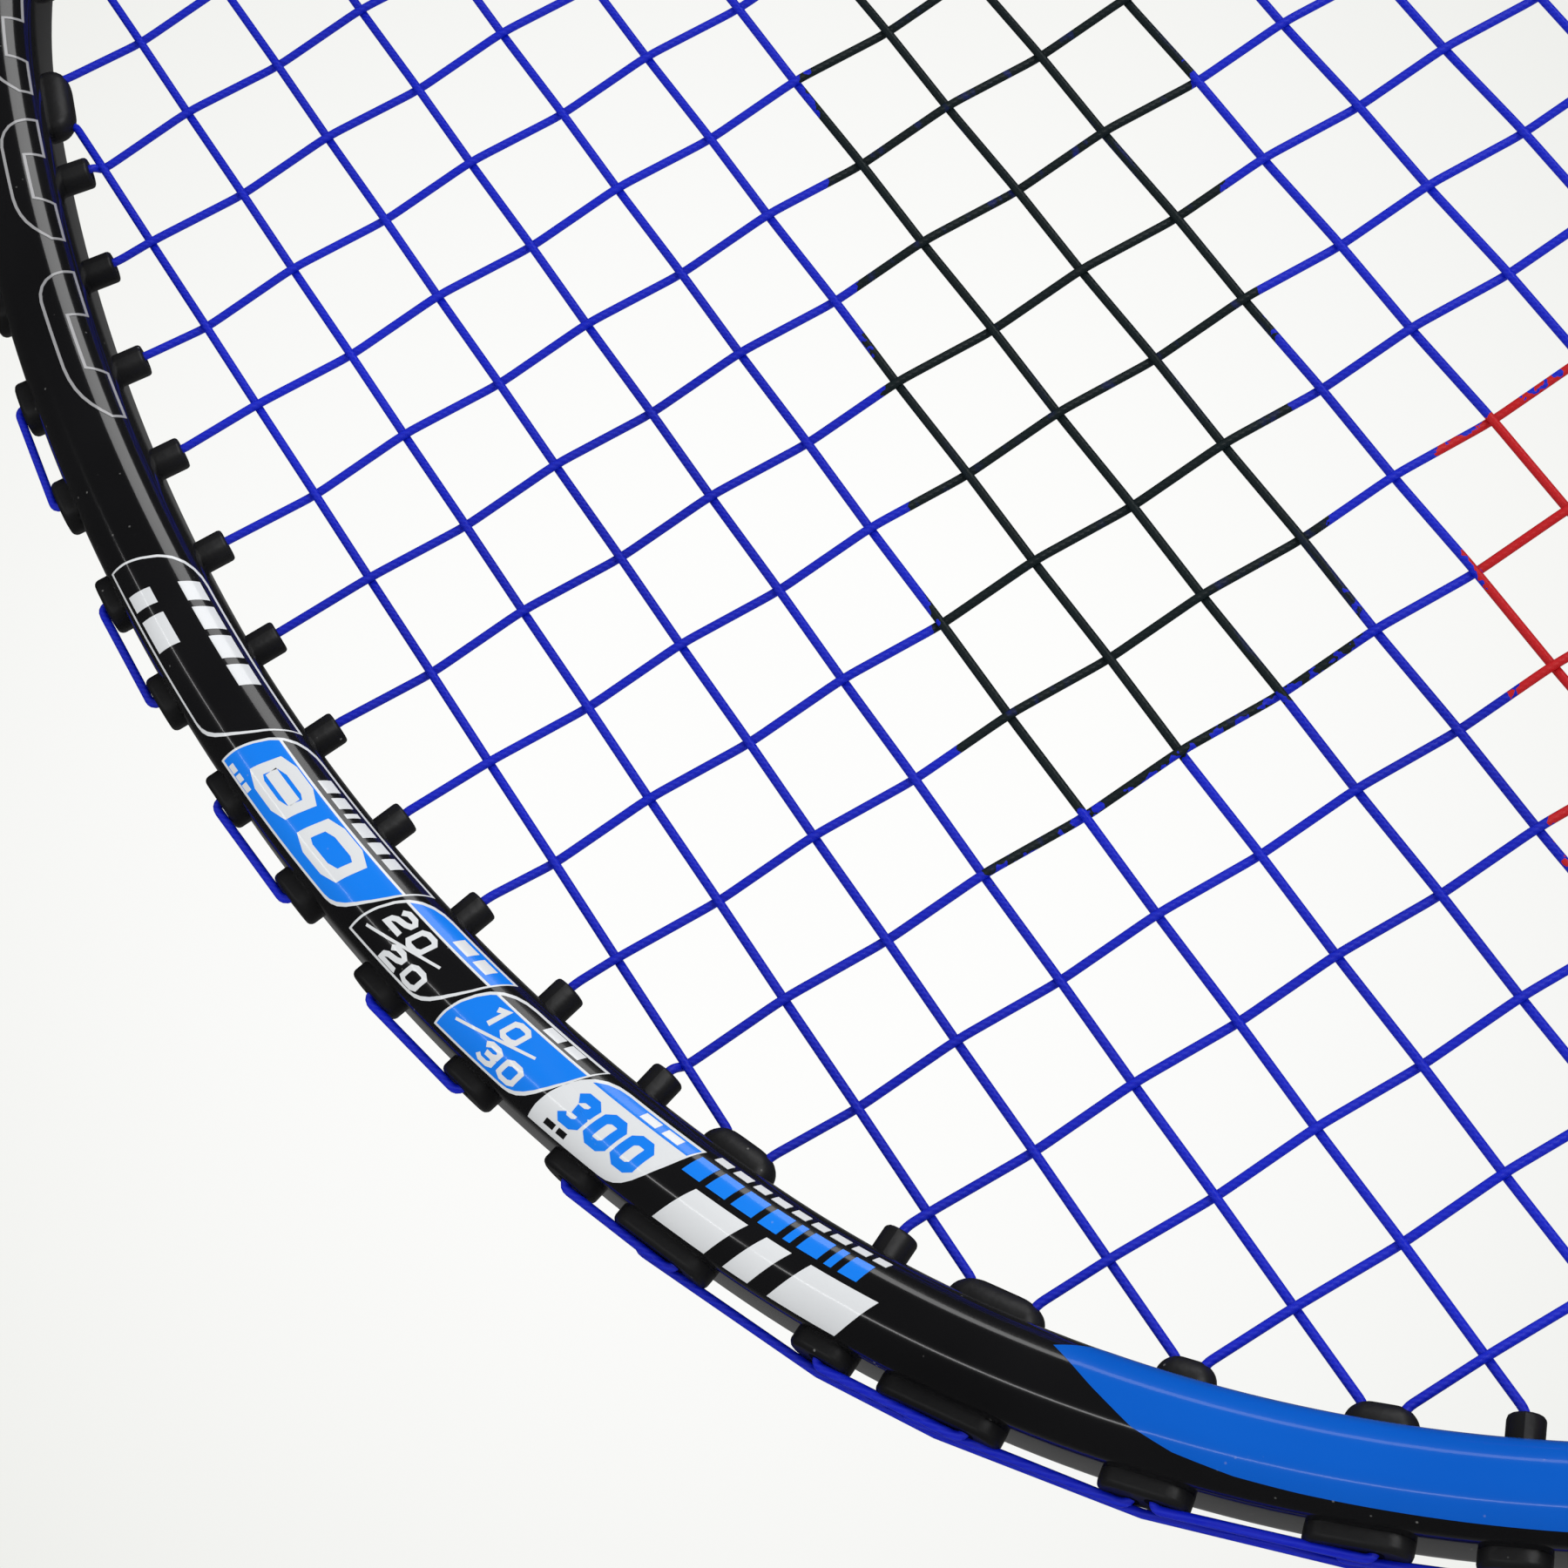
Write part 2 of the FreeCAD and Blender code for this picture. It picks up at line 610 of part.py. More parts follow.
def throat_fairing():
    """Moulded blend from the round shaft to the wide underside of the hoop."""
    wires = []
    bottom = THROAT_Z - FAIRING_LENGTH
    for n in range(FAIRING_SECTIONS):
        t = n / (FAIRING_SECTIONS - 1)
        half_depth = FAIRING_COLLAR_RADIUS + (TUBE_DEPTH / 2 - FAIRING_COLLAR_RADIUS) * t * 0.9
        spread = (FAIRING_HALF_WIDTH - FAIRING_COLLAR_RADIUS) * t ** 3
        half_width = max(FAIRING_COLLAR_RADIUS + spread, half_depth + 0.01)
        wires.append(ellipse_wire(half_width, half_depth, bottom + t * (FAIRING_LENGTH + FAIRING_WRAP)))
    body = Part.makeLoft(wires, True, False)
    tube = hoop_segment(HOOP[7], Part.Face(tube_section(0)))
    shaft_room = SHAFT_DIAMETER / 2 + GLUE_GAP
    stem_room = SHAFT_DIAMETER / 2 - SHAFT_WALL
    slot_depth = FLANGE_THICKNESS + STRING_DIAMETER + STRING_REST + SLOT_ROOM
    slot_inner = MAIN_PITCH / 2 - FLANGE_END - GLUE_GAP
    cutters = [
        tube,
        Part.makeCylinder(shaft_room, SHAFT_TOP - bottom + 1, V(0, 0, bottom - 1), Z_AXIS),
        Part.makeCylinder(stem_room, SHAFT_TOP_GAP - NECK_LENGTH, V(0, 0, SHAFT_TOP), Z_AXIS),
        Part.makeCylinder(NECK_RADIUS + GLUE_GAP, NECK_LENGTH + 1, V(0, 0, THROAT_Z - NECK_LENGTH), Z_AXIS),
    ]
    for side in (-1, 1):
        corner_x = slot_inner if side > 0 else -slot_inner - FAIRING_HALF_WIDTH
        corner = V(corner_x, -SLOT_HALF_DEPTH, THROAT_Z - slot_depth)
        cutters.append(Part.makeBox(FAIRING_HALF_WIDTH, 2 * SLOT_HALF_DEPTH, slot_depth + 4, corner))
    return body.cut(cutters)


def shaft_tube():
    outer = Part.makeCylinder(SHAFT_DIAMETER / 2, SHAFT_TOP - SHAFT_BOTTOM, V(0, 0, SHAFT_BOTTOM), Z_AXIS)
    bore_radius = SHAFT_DIAMETER / 2 - SHAFT_WALL
    inner = Part.makeCylinder(bore_radius, SHAFT_TOP - SHAFT_BOTTOM, V(0, 0, SHAFT_BOTTOM), Z_AXIS)
    return outer.cut(inner)


# ---------------------------------------------------------------- handle

def octagon(offset, z):
    """Outline of the handle's eight flats, grown by offset, at height z."""
    hx = HANDLE_WIDTH / 2 + offset
    hy = HANDLE_DEPTH / 2 + offset
    leg = HANDLE_BEVEL + offset * (2 - math.sqrt(2))
    quarter = [V(hx, hy - leg, z), V(hx - leg, hy, z)]
    points = quarter + [V(-p.x, p.y, z) for p in reversed(quarter)]
    points += [V(-p.x, -p.y, z) for p in points]
    return Part.makePolygon(points + points[:1])


def octagon_loft(profile):
    """Solid through octagons given as (height, offset)."""
    return Part.makeLoft([octagon(offset, z) for z, offset in profile], True, True)


def core_body():
    """The wooden handle with its round spigot, before any hole."""
    octagonal = octagon_loft([(CAP_BASE, 0), (HANDLE_LENGTH, 0)])
    spigot = Part.makeCone(SPIGOT_BASE_RADIUS, SPIGOT_TOP_RADIUS, SPIGOT_HEIGHT, V(0, 0, HANDLE_LENGTH), Z_AXIS)
    return octagonal.fuse(spigot)


def cone_side():
    """The curved side of the cone cap, from its foot to its tip."""
    foot = V(CONE_BASE_RADIUS, 0, HANDLE_LENGTH)
    waist = V(CONE_WAIST_RADIUS, 0, (HANDLE_LENGTH + CONE_TOP) / 2)
    return Part.Arc(foot, waist, V(CONE_TIP_RADIUS, 0, CONE_TOP))


def cone_radius(z):
    """Radius of the cone cap at a height: its side curves in, so the arc's centre is outside it."""
    circle = cone_side().toShape().Curve
    return circle.Center.x - math.sqrt(circle.Radius ** 2 - (z - circle.Center.z) ** 2)


def cone_envelope():
    """Outer shape of the cone cap: a cone whose side curves in to the shaft."""
    foot = V(CONE_BASE_RADIUS, 0, HANDLE_LENGTH)
    tip = V(CONE_TIP_RADIUS, 0, CONE_TOP)
    side = cone_side().toShape()
    lines = [Part.makeLine(tip, V(0, 0, CONE_TOP)), Part.makeLine(V(0, 0, CONE_TOP), V(0, 0, HANDLE_LENGTH))]
    lines.append(Part.makeLine(V(0, 0, HANDLE_LENGTH), foot))
    return Part.Face(Part.Wire([side] + lines)).revolve(V(0, 0, 0), Z_AXIS, 360)


def cap_envelope():
    """Outer shape of the butt cap: a rounded lip and a skirt that the wrap covers."""
    lip = octagon_loft([(0, CAP_LIP_OFFSET), (CAP_LIP_HEIGHT, CAP_LIP_OFFSET)])
    bottom_edges = [edge for edge in lip.Edges if edge.BoundBox.ZMax < 1e-6]
    lip = lip.makeFillet(CAP_EDGE_FILLET, bottom_edges)
    skirt = octagon_loft([(CAP_LIP_HEIGHT, CAP_FOOT_OFFSET), (CAP_HEIGHT, CAP_TOP_OFFSET)])
    return lip.fuse(skirt)


def staple(side):
    """A wire staple through the cap's skirt into the wood; side is the face it is driven from."""
    crown_y = HANDLE_DEPTH / 2
    crown = Part.makeBox(STAPLE_WIDTH, STAPLE_WIRE, STAPLE_WIRE, V(-STAPLE_WIDTH / 2, crown_y, STAPLE_HEIGHT))
    legs = []
    for x in (-STAPLE_WIDTH / 2, STAPLE_WIDTH / 2 - STAPLE_WIRE):
        corner = V(x, crown_y - STAPLE_LEG, STAPLE_HEIGHT)
        legs.append(Part.makeBox(STAPLE_WIRE, STAPLE_LEG, STAPLE_WIRE, corner))
    shape = crown.fuse(legs)
    return shape if side > 0 else shape.mirror(V(0, 0, 0), Y_AXIS)


def handle_nodes():
    """The handle's pieces, each cut to sit on the ones inside it."""
    core = core_body()
    cone = cone_envelope()
    cap = cap_envelope()
    staples = [staple(1), staple(-1)]
    shaft_room = SHAFT_DIAMETER / 2 + GLUE_GAP
    shaft_hole = Part.makeCylinder(shaft_room, CONE_TOP - SHAFT_BOTTOM + 1, V(0, 0, SHAFT_BOTTOM), Z_AXIS)
    recess = Part.makeCylinder(BADGE_RADIUS + GLUE_GAP, BADGE_THICKNESS, V(0, 0, 0), Z_AXIS)
    badge = Part.makeCylinder(BADGE_RADIUS, BADGE_THICKNESS, V(0, 0, 0), Z_AXIS)
    top_offset = cone_radius(WRAP_TOP) + WRAP_TOP_THICKNESS - HANDLE_DEPTH / 2
    wrap = octagon_loft([
        (CAP_LIP_HEIGHT, CAP_FOOT_OFFSET + WRAP_THICKNESS),
        (CAP_HEIGHT, CAP_TOP_OFFSET + WRAP_THICKNESS),
        (WRAP_FLARE_TOP, WRAP_THICKNESS),
        (WRAP_TAPER_BOTTOM, WRAP_THICKNESS),
        (WRAP_TOP, top_offset),
    ])
    collar = octagon_loft([
        (COLLAR_BOTTOM, WRAP_THICKNESS + COLLAR_THICKNESS),
        (WRAP_TAPER_BOTTOM, WRAP_THICKNESS + COLLAR_THICKNESS),
        (WRAP_TOP, top_offset + COLLAR_THICKNESS),
        (COLLAR_TOP, cone_radius(COLLAR_TOP) + COLLAR_THICKNESS - HANDLE_DEPTH / 2),
    ])
    return {
        "handle_core": core.cut([shaft_hole] + staples),
        "cone_cap": cone.cut([core, shaft_hole]),
        "butt_cap": cap.cut([core, recess] + staples),
        "butt_staples": Part.makeCompound(staples),
        "butt_badge": badge,
        "grip_wrap": wrap.cut([core, cone, cap]),
        "grip_collar_tape": collar.cut([wrap, cone, core]),
    }


# ---------------------------------------------------------------- assembly

def build_nodes():
    nodes = {
        "head_frame": head_frame(),
        "throat_fairing": throat_fairing(),
        "t_joint_core": t_joint_core(),
        "shaft_tube": shaft_tube(),
    }
    nodes.update(handle_nodes())
    routes = (("main_string", main_string_route()), ("cross_string", cross_string_route()))
    for name, route in routes:
        nodes[name], length = string_solid(route)
        section_area = math.pi * STRING_RADIUS ** 2
        ratio = nodes[name].Volume / (section_area * length)
        print(f"{name}: {length:.0f} mm long, volume over section times length {ratio:.4f}")
    main_ties = [key for key in STATIONS if key[0] == "main tie"]
    cross_ties = [key for key in STATIONS if key[0] == "cross tie"]
    nodes["main_knots"] = Part.makeCompound([knot(tie) for tie in main_ties])
    nodes["cross_knots"] = Part.makeCompound([knot(tie) for tie in cross_ties])
    groups = {}
    for grommet in GROMMETS:
        groups.setdefault(grommet_node(grommet), []).append(grommet_solid(grommet))
    for name, solids in groups.items():
        nodes[name] = Part.makeCompound(solids)
    return nodes


os.makedirs("parts", exist_ok=True)
for node_name, node_shape in build_nodes().items():
    node_shape.exportStep(f"parts/{node_name}.step")
    solid_count = len(node_shape.Solids)
    print(f"{node_name}: {solid_count} solid(s), valid {node_shape.isValid()}, {node_shape.Volume:.1f} mm3")
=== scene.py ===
import math
import bmesh
import bpy
from mathutils import Matrix, Vector


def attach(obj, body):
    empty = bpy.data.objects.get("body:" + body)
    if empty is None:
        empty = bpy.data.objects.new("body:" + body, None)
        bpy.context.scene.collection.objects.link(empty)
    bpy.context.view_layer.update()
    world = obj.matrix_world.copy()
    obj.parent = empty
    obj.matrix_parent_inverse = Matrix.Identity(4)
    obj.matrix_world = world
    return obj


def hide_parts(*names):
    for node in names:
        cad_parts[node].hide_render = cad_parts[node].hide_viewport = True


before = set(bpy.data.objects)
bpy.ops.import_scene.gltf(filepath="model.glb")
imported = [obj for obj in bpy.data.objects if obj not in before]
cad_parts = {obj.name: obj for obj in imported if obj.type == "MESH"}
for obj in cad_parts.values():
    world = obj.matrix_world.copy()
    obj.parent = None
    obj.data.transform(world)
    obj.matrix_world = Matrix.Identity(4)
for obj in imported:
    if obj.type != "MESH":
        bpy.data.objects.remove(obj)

bl_info = {
    "name": "Badminton racket",
    "version": (1, 0, 0),
    "blender": (4, 2, 0),
    "location": "View3D > Sidebar > Racket",
    "description": "Builds a strung badminton racket with its printed hoop, grommets, shaft and grip",
    "category": "Add Mesh",
}

MM = 0.001
UP = Vector((0, 0, 1))
DEPTH = Vector((0, 1, 0))
# Vertices closer than this are joined; edges steeper than this angle stay sharp
WELD = 1e-6
SHARP = math.radians(38)

# ------------------------------------------------------------------ settings

def length(name, description, millimetres):
    return bpy.props.FloatProperty(
        name=name, description=description, default=millimetres * MM, unit="LENGTH", precision=5)


def angle(name, description, degrees):
    return bpy.props.FloatProperty(
        name=name, description=description, default=math.radians(degrees), subtype="ANGLE")


def whole(name, description, value):
    return bpy.props.IntProperty(name=name, description=description, default=value, min=1)


class HoopSettings(bpy.types.PropertyGroup):
    """Outline and section of the hoop."""

    half_width: length("Half width", "From the middle to the tube's centreline at the widest place", 99.8)
    widest_height: length("Widest height", "Height of the widest place above the butt", 553.7)
    tip_reach: length("Tip reach", "From the widest place up to the centreline at the tip", 117.8)
    throat_reach: length("Throat reach", "From the widest place down to the centreline at the throat", 126.0)
    tip_side: angle("Tip side angle", "Angle that the upper side arc turns through", 18.5)
    tip_end: angle("Tip end angle", "Angle at which the tip arc starts", 62.7)
    tip_corner: length("Tip corner radius", "Radius of the upper corner arcs", 72.4)
    throat_side: angle("Throat side angle", "Angle that the lower side arc turns through", 20.8)
    throat_end: angle("Throat end angle", "Angle at which the throat arc starts", 62.6)
    throat_corner: length("Throat corner radius", "Radius of the lower corner arcs", 105.0)
    tube_width: length("Tube width", "Width of the tube in the plane of the strings", 7.0)
    tube_depth: length("Tube depth", "Depth of the tube across the plane of the strings", 9.2)
    tube_corner: length("Tube corner radius", "Rounding of the tube's section", 3.0)
    step: length("Ring step", "Distance between rings of the hoop's mesh", 1.6)


class StringSettings(bpy.types.PropertyGroup):
    """The woven string bed."""

    mains: whole("Mains", "How many strings run up the head", 22)
    crosses: whole("Crosses", "How many strings run across the head", 22)
    main_pitch: length("Main pitch", "Distance between mains", 8.2)
    cross_pitch: length("Cross pitch", "Distance between crosses", 9.8)
    top_cross: length("Top cross", "Height of the first cross above the butt", 654.3)
    diameter: length("Diameter", "Thickness of the string", 0.68)
    main_wave: length("Main wave", "How far a main swings to either side as it weaves", 0.23)
    cross_wave: length("Cross wave", "How far a cross swings to either side as it weaves", 0.39)
    main_tie: whole("Main tie", "Main beside which the mains are tied off", 6)
    tip_tie: whole("Tip tie", "Main beside which the crosses are tied off at the tip", 6)
    throat_tie: whole("Throat tie", "Main beside which the crosses are tied off at the throat", 8)


class GrommetSettings(bpy.types.PropertyGroup):
    """The nylon fittings that carry the strings through the tube."""

    barrel: length("Barrel diameter", "Diameter of the barrel inside the head", 2.6)
    proud: length("Barrel height", "How far a single barrel stands inside the head", 2.2)
    shared_proud: length("Shared height", "How far a shared barrel stands inside the head", 1.2)
    flange_thickness: length("Flange thickness", "Height of the outer flange above the tube", 1.2)
    flange_width: length("Flange width", "Width of the outer flange", 3.3)
    flange_end: length("Flange end", "From a hole's centre to the end of the flange", 2.4)


class ThroatSettings(bpy.types.PropertyGroup):
    """The fairing under the hoop and the shaft."""

    fairing_length: length("Fairing length", "Height of the moulded blend under the hoop", 28.0)
    fairing_half_width: length("Fairing half width", "Half of its width where it meets the hoop", 14.0)
    collar: length("Collar radius", "Radius of its lower end", 4.5)
    shaft: length("Shaft diameter", "Outside diameter of the shaft", 7.0)
    shaft_bottom: length("Shaft bottom", "Height of the lowest shaft that shows", 198.0)


class HandleSettings(bpy.types.PropertyGroup):
    """The octagonal handle, its cone, its cap and its grip."""

    width: length("Width", "Across the flats, along the head's width", 24.0)
    depth: length("Depth", "Across the flats, front to back", 21.5)
    bevel: length("Bevel", "Leg of the four slanting flats", 6.0)
    top: length("Top", "Height of the wooden handle", 166.0)
    cone_top: length("Cone top", "Height of the cone's upper end", 205.0)
    wrap: length("Wrap thickness", "Thickness of the grip", 1.6)
    wrap_pitch: length("Wrap pitch", "Height of one turn of the grip", 19.0)


class StageSettings(bpy.types.PropertyGroup):
    """Camera, light and floor."""

    lens: length("Lens", "Focal length of the camera", 98.02)
    floor_radius: length("Floor radius", "Radius of the floor", 2500.0)


# ------------------------------------------------------------------ the hoop's outline

def half_hoop(hoop, turn, reach, side_angle, end_angle, corner):
    """Five arcs of one half of the centreline, as (centre x, centre z, radius, start, end)."""
    across = hoop.half_width - corner * (math.cos(side_angle) - math.cos(end_angle))
    along = reach - corner * (math.sin(end_angle) - math.sin(side_angle))
    side_rest, end_rest = 1 - math.cos(side_angle), 1 - math.sin(end_angle)
    mixed = math.cos(end_angle) * math.sin(side_angle)
    scale = side_rest * end_rest - mixed
    side = (across * end_rest - math.cos(end_angle) * along) / scale
    end = (side_rest * along - math.sin(side_angle) * across) / scale
    corner_x = hoop.half_width - side + (side - corner) * math.cos(side_angle)
    corner_z = (side - corner) * math.sin(side_angle)
    spans = [
        (hoop.half_width - side, 0, side, 0, side_angle),
        (corner_x, corner_z, corner, side_angle, end_angle),
        (0, reach - end, end, end_angle, math.pi - end_angle),
        (-corner_x, corner_z, corner, math.pi - end_angle, math.pi - side_angle),
        (side - hoop.half_width, 0, side, math.pi - side_angle, math.pi),
    ]
    flip = -1 if turn else 1
    return [(flip * x, hoop.widest_height + flip * z, r, turn + a, turn + b) for x, z, r, a, b in spans]


def hoop_arcs(hoop):
    """The whole centreline: from the right side over the tip, down the left side and round the throat."""
    tip = half_hoop(hoop, 0, hoop.tip_reach, hoop.tip_side, hoop.tip_end, hoop.tip_corner)
    throat = half_hoop(hoop, math.pi, hoop.throat_reach, hoop.throat_side, hoop.throat_end, hoop.throat_corner)
    return tip + throat


def arc_length(arcs):
    return sum(r * (b - a) for x, z, r, a, b in arcs)


def tip_place(arcs):
    """Where the tip's middle lies along the centreline."""
    return arc_length(arcs[:5]) / 2


def section_point(hoop, around, lift):
    """Point of the tube's section: around is measured from the front's middle, positive to the inside.

    Returns how far it lies inside the centreline and its depth.
    """
    half_width, half_depth, r = hoop.tube_width / 2, hoop.tube_depth / 2, hoop.tube_corner
    flat = half_width - r
    side = 1 if around >= 0 else -1
    distance = abs(around)
    if distance <= flat:
        return side * distance, -half_depth - lift
    turn = (distance - flat) / r
    if turn <= math.pi / 2:
        return side * (flat + (r + lift) * math.sin(turn)), r - half_depth - (r + lift) * math.cos(turn)
    return side * (half_width + lift), r - half_depth + distance - flat - r * math.pi / 2


def on_tube(hoop, arcs, place, around, lift):
    """Point on the hoop's surface, or lifted off it."""
    place = place % arc_length(arcs)
    for x, z, r, a, b in arcs:
        if place <= r * (b - a):
            break
        place -= r * (b - a)
    turn = a + place / r
    inside, depth = section_point(hoop, around, lift)
    return Vector((x + (r - inside) * math.cos(turn), depth, z + (r - inside) * math.sin(turn)))


# ------------------------------------------------------------------ mesh helpers

def finish_mesh(name, bm, material, smooth=True, nodes=()):
    """Turns a bmesh into a named piece that rides on the racket and stands for its CAD nodes."""
    bmesh.ops.remove_doubles(bm, verts=bm.verts, dist=WELD)
    bmesh.ops.recalc_face_normals(bm, faces=bm.faces)
    mesh = bpy.data.meshes.new(name)
    bm.to_mesh(mesh)
    bm.free()
    return place_mesh(name, mesh, [material], smooth, nodes)


def place_mesh(name, mesh, materials, smooth=True, nodes=()):
    obj = add_object(name, mesh)
    for material in materials:
        mesh.materials.append(material)
    if smooth:
        mesh.shade_smooth()
        mesh.set_sharp_from_angle(angle=SHARP)
    else:
        mesh.shade_flat()
    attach(obj, "root")
    if nodes:
        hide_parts(*nodes)
    return obj


def add_object(name, data):
    obj = bpy.data.objects.new(name, data)
    bpy.context.scene.collection.objects.link(obj)
    return obj


def applied_mesh(obj):
    """Copy of an object's mesh as its modifiers or curve settings make it."""
    graph = bpy.context.evaluated_depsgraph_get()
    return bpy.data.meshes.new_from_object(obj.evaluated_get(graph))


def ring_face(bm, points):
    """A flat face through the points."""
    return bm.faces.new([bm.verts.new(point) for point in points])


def raise_faces(bm, height):
    """Gives the flat faces of a bmesh a thickness, with the new side at the given height."""
    made = bmesh.ops.extrude_face_region(bm, geom=bm.faces[:], use_keep_orig=True)
    for item in made["geom"]:
        if isinstance(item, bmesh.types.BMVert):
            item.co.z = height


def tube_mesh(name, paths, radius):
    """Mesh of ten-sided round cords along lists of points, with closed ends."""
    curve = bpy.data.curves.new(name, "CURVE")
    curve.dimensions = "3D"
    curve.bevel_depth = radius
    curve.bevel_resolution = 3
    curve.resolution_u = 1
    curve.use_fill_caps = True
    for path in paths:
        spline = curve.splines.new("POLY")
        spline.points.add(len(path) - 1)
        for point, co in zip(spline.points, path):
            point.co = (*co, 1)
    holder = add_object(name + "_path", curve)
    mesh = applied_mesh(holder)
    mesh.name = name
    bpy.data.objects.remove(holder)
    bpy.data.curves.remove(curve)
    mesh.materials.clear()
    return mesh


# ------------------------------------------------------------------ hoop and its printing

# How finely a print is cut down the hoop and round its section, and the lean of its numerals
CUT_ALONG, CUT_AROUND = 1.2 * MM, 0.25 * MM
NUMERAL_SLANT = 0.3


def section_ring(hoop, count):
    """Points of the tube's section round its whole perimeter, as (inside, depth)."""
    r = hoop.tube_corner
    flat, wall = hoop.tube_width / 2 - r, hoop.tube_depth / 2 - r
    points = []
    for n, (sx, sy) in enumerate([(1, -1), (1, 1), (-1, 1), (-1, -1)]):
        for k in range(count + 1):
            turn = math.radians(90 * (n - 1) + 90 * k / count)
            points.append((sx * flat + r * math.cos(turn), sy * wall + r * math.sin(turn)))
    return points


def build_hoop(hoop, material):
    """The hoop: its section spun along each arc in turn and closed on itself."""
    arcs = hoop_arcs(hoop)
    bm = bmesh.new()
    x, z, r, a, b = arcs[0]
    ring = [bm.verts.new((x + r - inside, depth, z)) for inside, depth in section_ring(hoop, 12)]
    edges = [bm.edges.new((ring[n - 1], ring[n])) for n in range(len(ring))]
    geometry = ring + edges
    for x, z, r, a, b in arcs:
        steps = max(2, round(r * (b - a) / hoop.step))
        made = bmesh.ops.spin(bm, geom=geometry, cent=(x, 0, z), axis=(0, -1, 0), angle=b - a, steps=steps)
        geometry = made["geom_last"]
    return finish_mesh("head_hoop", bm, material, nodes=["head_frame"])


def ribbon(bm, points, width):
    """Flat stroke of even width with mitred corners through points given in the plane."""
    points = [Vector(point) for point in points]
    closed = (points[0] - points[-1]).length < 1e-9
    if closed:
        points.pop()
    count = len(points)
    rows = []
    for n, point in enumerate(points):
        before = points[n - 1] if closed or n else None
        after = points[(n + 1) % count] if closed or n < count - 1 else None
        arriving = (point - before).normalized() if before else (after - point).normalized()
        leaving = (after - point).normalized() if after else arriving
        bisector = (arriving + leaving).normalized()
        side = Vector((-bisector.y, bisector.x))
        reach = width / 2 / max(0.5, bisector.dot(arriving))
        rows.append((bm.verts.new((*(point + side * reach), 0)), bm.verts.new((*(point - side * reach), 0))))
    last = count if closed else count - 1
    for n in range(last):
        (a, b), (c, d) = rows[n], rows[(n + 1) % count]
        bm.faces.new((a, b, d, c))


def wrap_print(hoop, bm, name, material, low, high, turned):
    """Gives a flat print its thickness, cuts it finely and lays it on the tube.

    In the flat, X runs down the left side from the tip and Y goes round the section to the inside.
    """
    arcs = hoop_arcs(hoop)
    start = tip_place(arcs)
    bmesh.ops.recalc_face_normals(bm, faces=bm.faces)
    for vert in bm.verts:
        vert.co.z = low
    for axis, step in ((Vector((1, 0, 0)), CUT_ALONG), (Vector((0, 1, 0)), CUT_AROUND)):
        values = [vert.co.dot(axis) for vert in bm.verts]
        cut = math.ceil(min(values) / step) * step
        while cut < max(values):
            geometry = bm.verts[:] + bm.edges[:] + bm.faces[:]
            bmesh.ops.bisect_plane(bm, geom=geometry, plane_co=axis * cut, plane_no=axis)
            cut += step
    raise_faces(bm, high)
    spun = Matrix.Rotation(math.pi, 3, "Z") if turned else Matrix.Identity(3)
    for vert in bm.verts:
        vert.co = spun @ on_tube(hoop, arcs, start + vert.co.x, vert.co.y, vert.co.z)
    return finish_mesh(name, bm, material)


def bend(start, control, finish, steps=8):
    """Points of a quadratic curve after its start."""
    points = []
    for n in range(1, steps + 1):
        t = n / steps
        shares = (1 - t) ** 2, 2 * t * (1 - t), t * t
        ends = zip(start, control, finish)
        points.append(tuple(shares[0] * a + shares[1] * c + shares[2] * b for a, c, b in ends))
    return points


def leaf(s0, s1, outer, inner, shrink=0.0):
    """Outline of a printed panel in millimetres: two sharp corners and two that sweep round."""
    s0, s1 = s0 + shrink, s1 - shrink
    outer, inner = outer + shrink, inner - shrink
    points = [(s0, outer), (s1 - 5.6, outer)]
    points += bend(points[-1], (s1 - 3.0, outer), (s1, inner))
    points += [(s0 + 5.2, inner)]
    points += bend(points[-1], (s0 + 1.3, inner), (s0, outer))[:-1]
    return points


def flat_panel(outline, split=None, keep_inner=True):
    """Flat face in metres from an outline in millimetres, cut along a line if one is given."""
    bm = bmesh.new()
    ring_face(bm, [(s * MM, p * MM, 0) for s, p in outline])
    if split is not None:
        geometry = bm.verts[:] + bm.edges[:] + bm.faces[:]
        bmesh.ops.bisect_plane(
            bm, geom=geometry, plane_co=(0, split * MM, 0), plane_no=(0, 1, 0),
            clear_inner=keep_inner, clear_outer=not keep_inner,
        )
    return bm


ROUND_BOX = [(0.25, 0), (0.75, 0), (1, 0.3), (1, 1.7), (0.75, 2), (0.25, 2), (0, 1.7), (0, 0.3), (0.25, 0)]
NUMERAL_STROKES = {
    "0": [ROUND_BOX],
    "1": [[(0.3, 1.6), (0.75, 2), (0.75, -0.14)]],
    "2": [[
        (0, 1.6), (0.25, 2), (0.75, 2), (1, 1.7), (1, 1.3), (0.75, 1.05), (0.2, 0.85), (0, 0.55), (0, 0), (1.1, 0),
    ]],
    "3": [[
        (0, 1.65), (0.25, 2), (0.75, 2), (1, 1.75), (1, 1.25), (0.75, 1.0),
        (1, 0.75), (1, 0.25), (0.75, 0), (0.25, 0), (0, 0.35),
    ], [(0.3, 1), (0.75, 1)]],
    "8": [ROUND_BOX, [(0.11, 1), (0.89, 1)]],
}


def numerals(bm, text, s, low, width, height, weight):
    """Plain block numerals as flat strokes, reading down the side with their tops to the inside."""
    glyph, gap = width / len(text), 0.3
    unit = glyph * (1 - gap)
    for n, mark in enumerate(text):
        for stroke in NUMERAL_STROKES[mark]:
            points = []
            for x, y in stroke:
                rise = low + weight / 2 + y / 2 * (height - weight)
                run = s + n * glyph + weight / 2 + x * (unit - weight * 0.4) + rise * NUMERAL_SLANT
                points.append((run * MM, rise * MM))
            ribbon(bm, points, weight * MM)


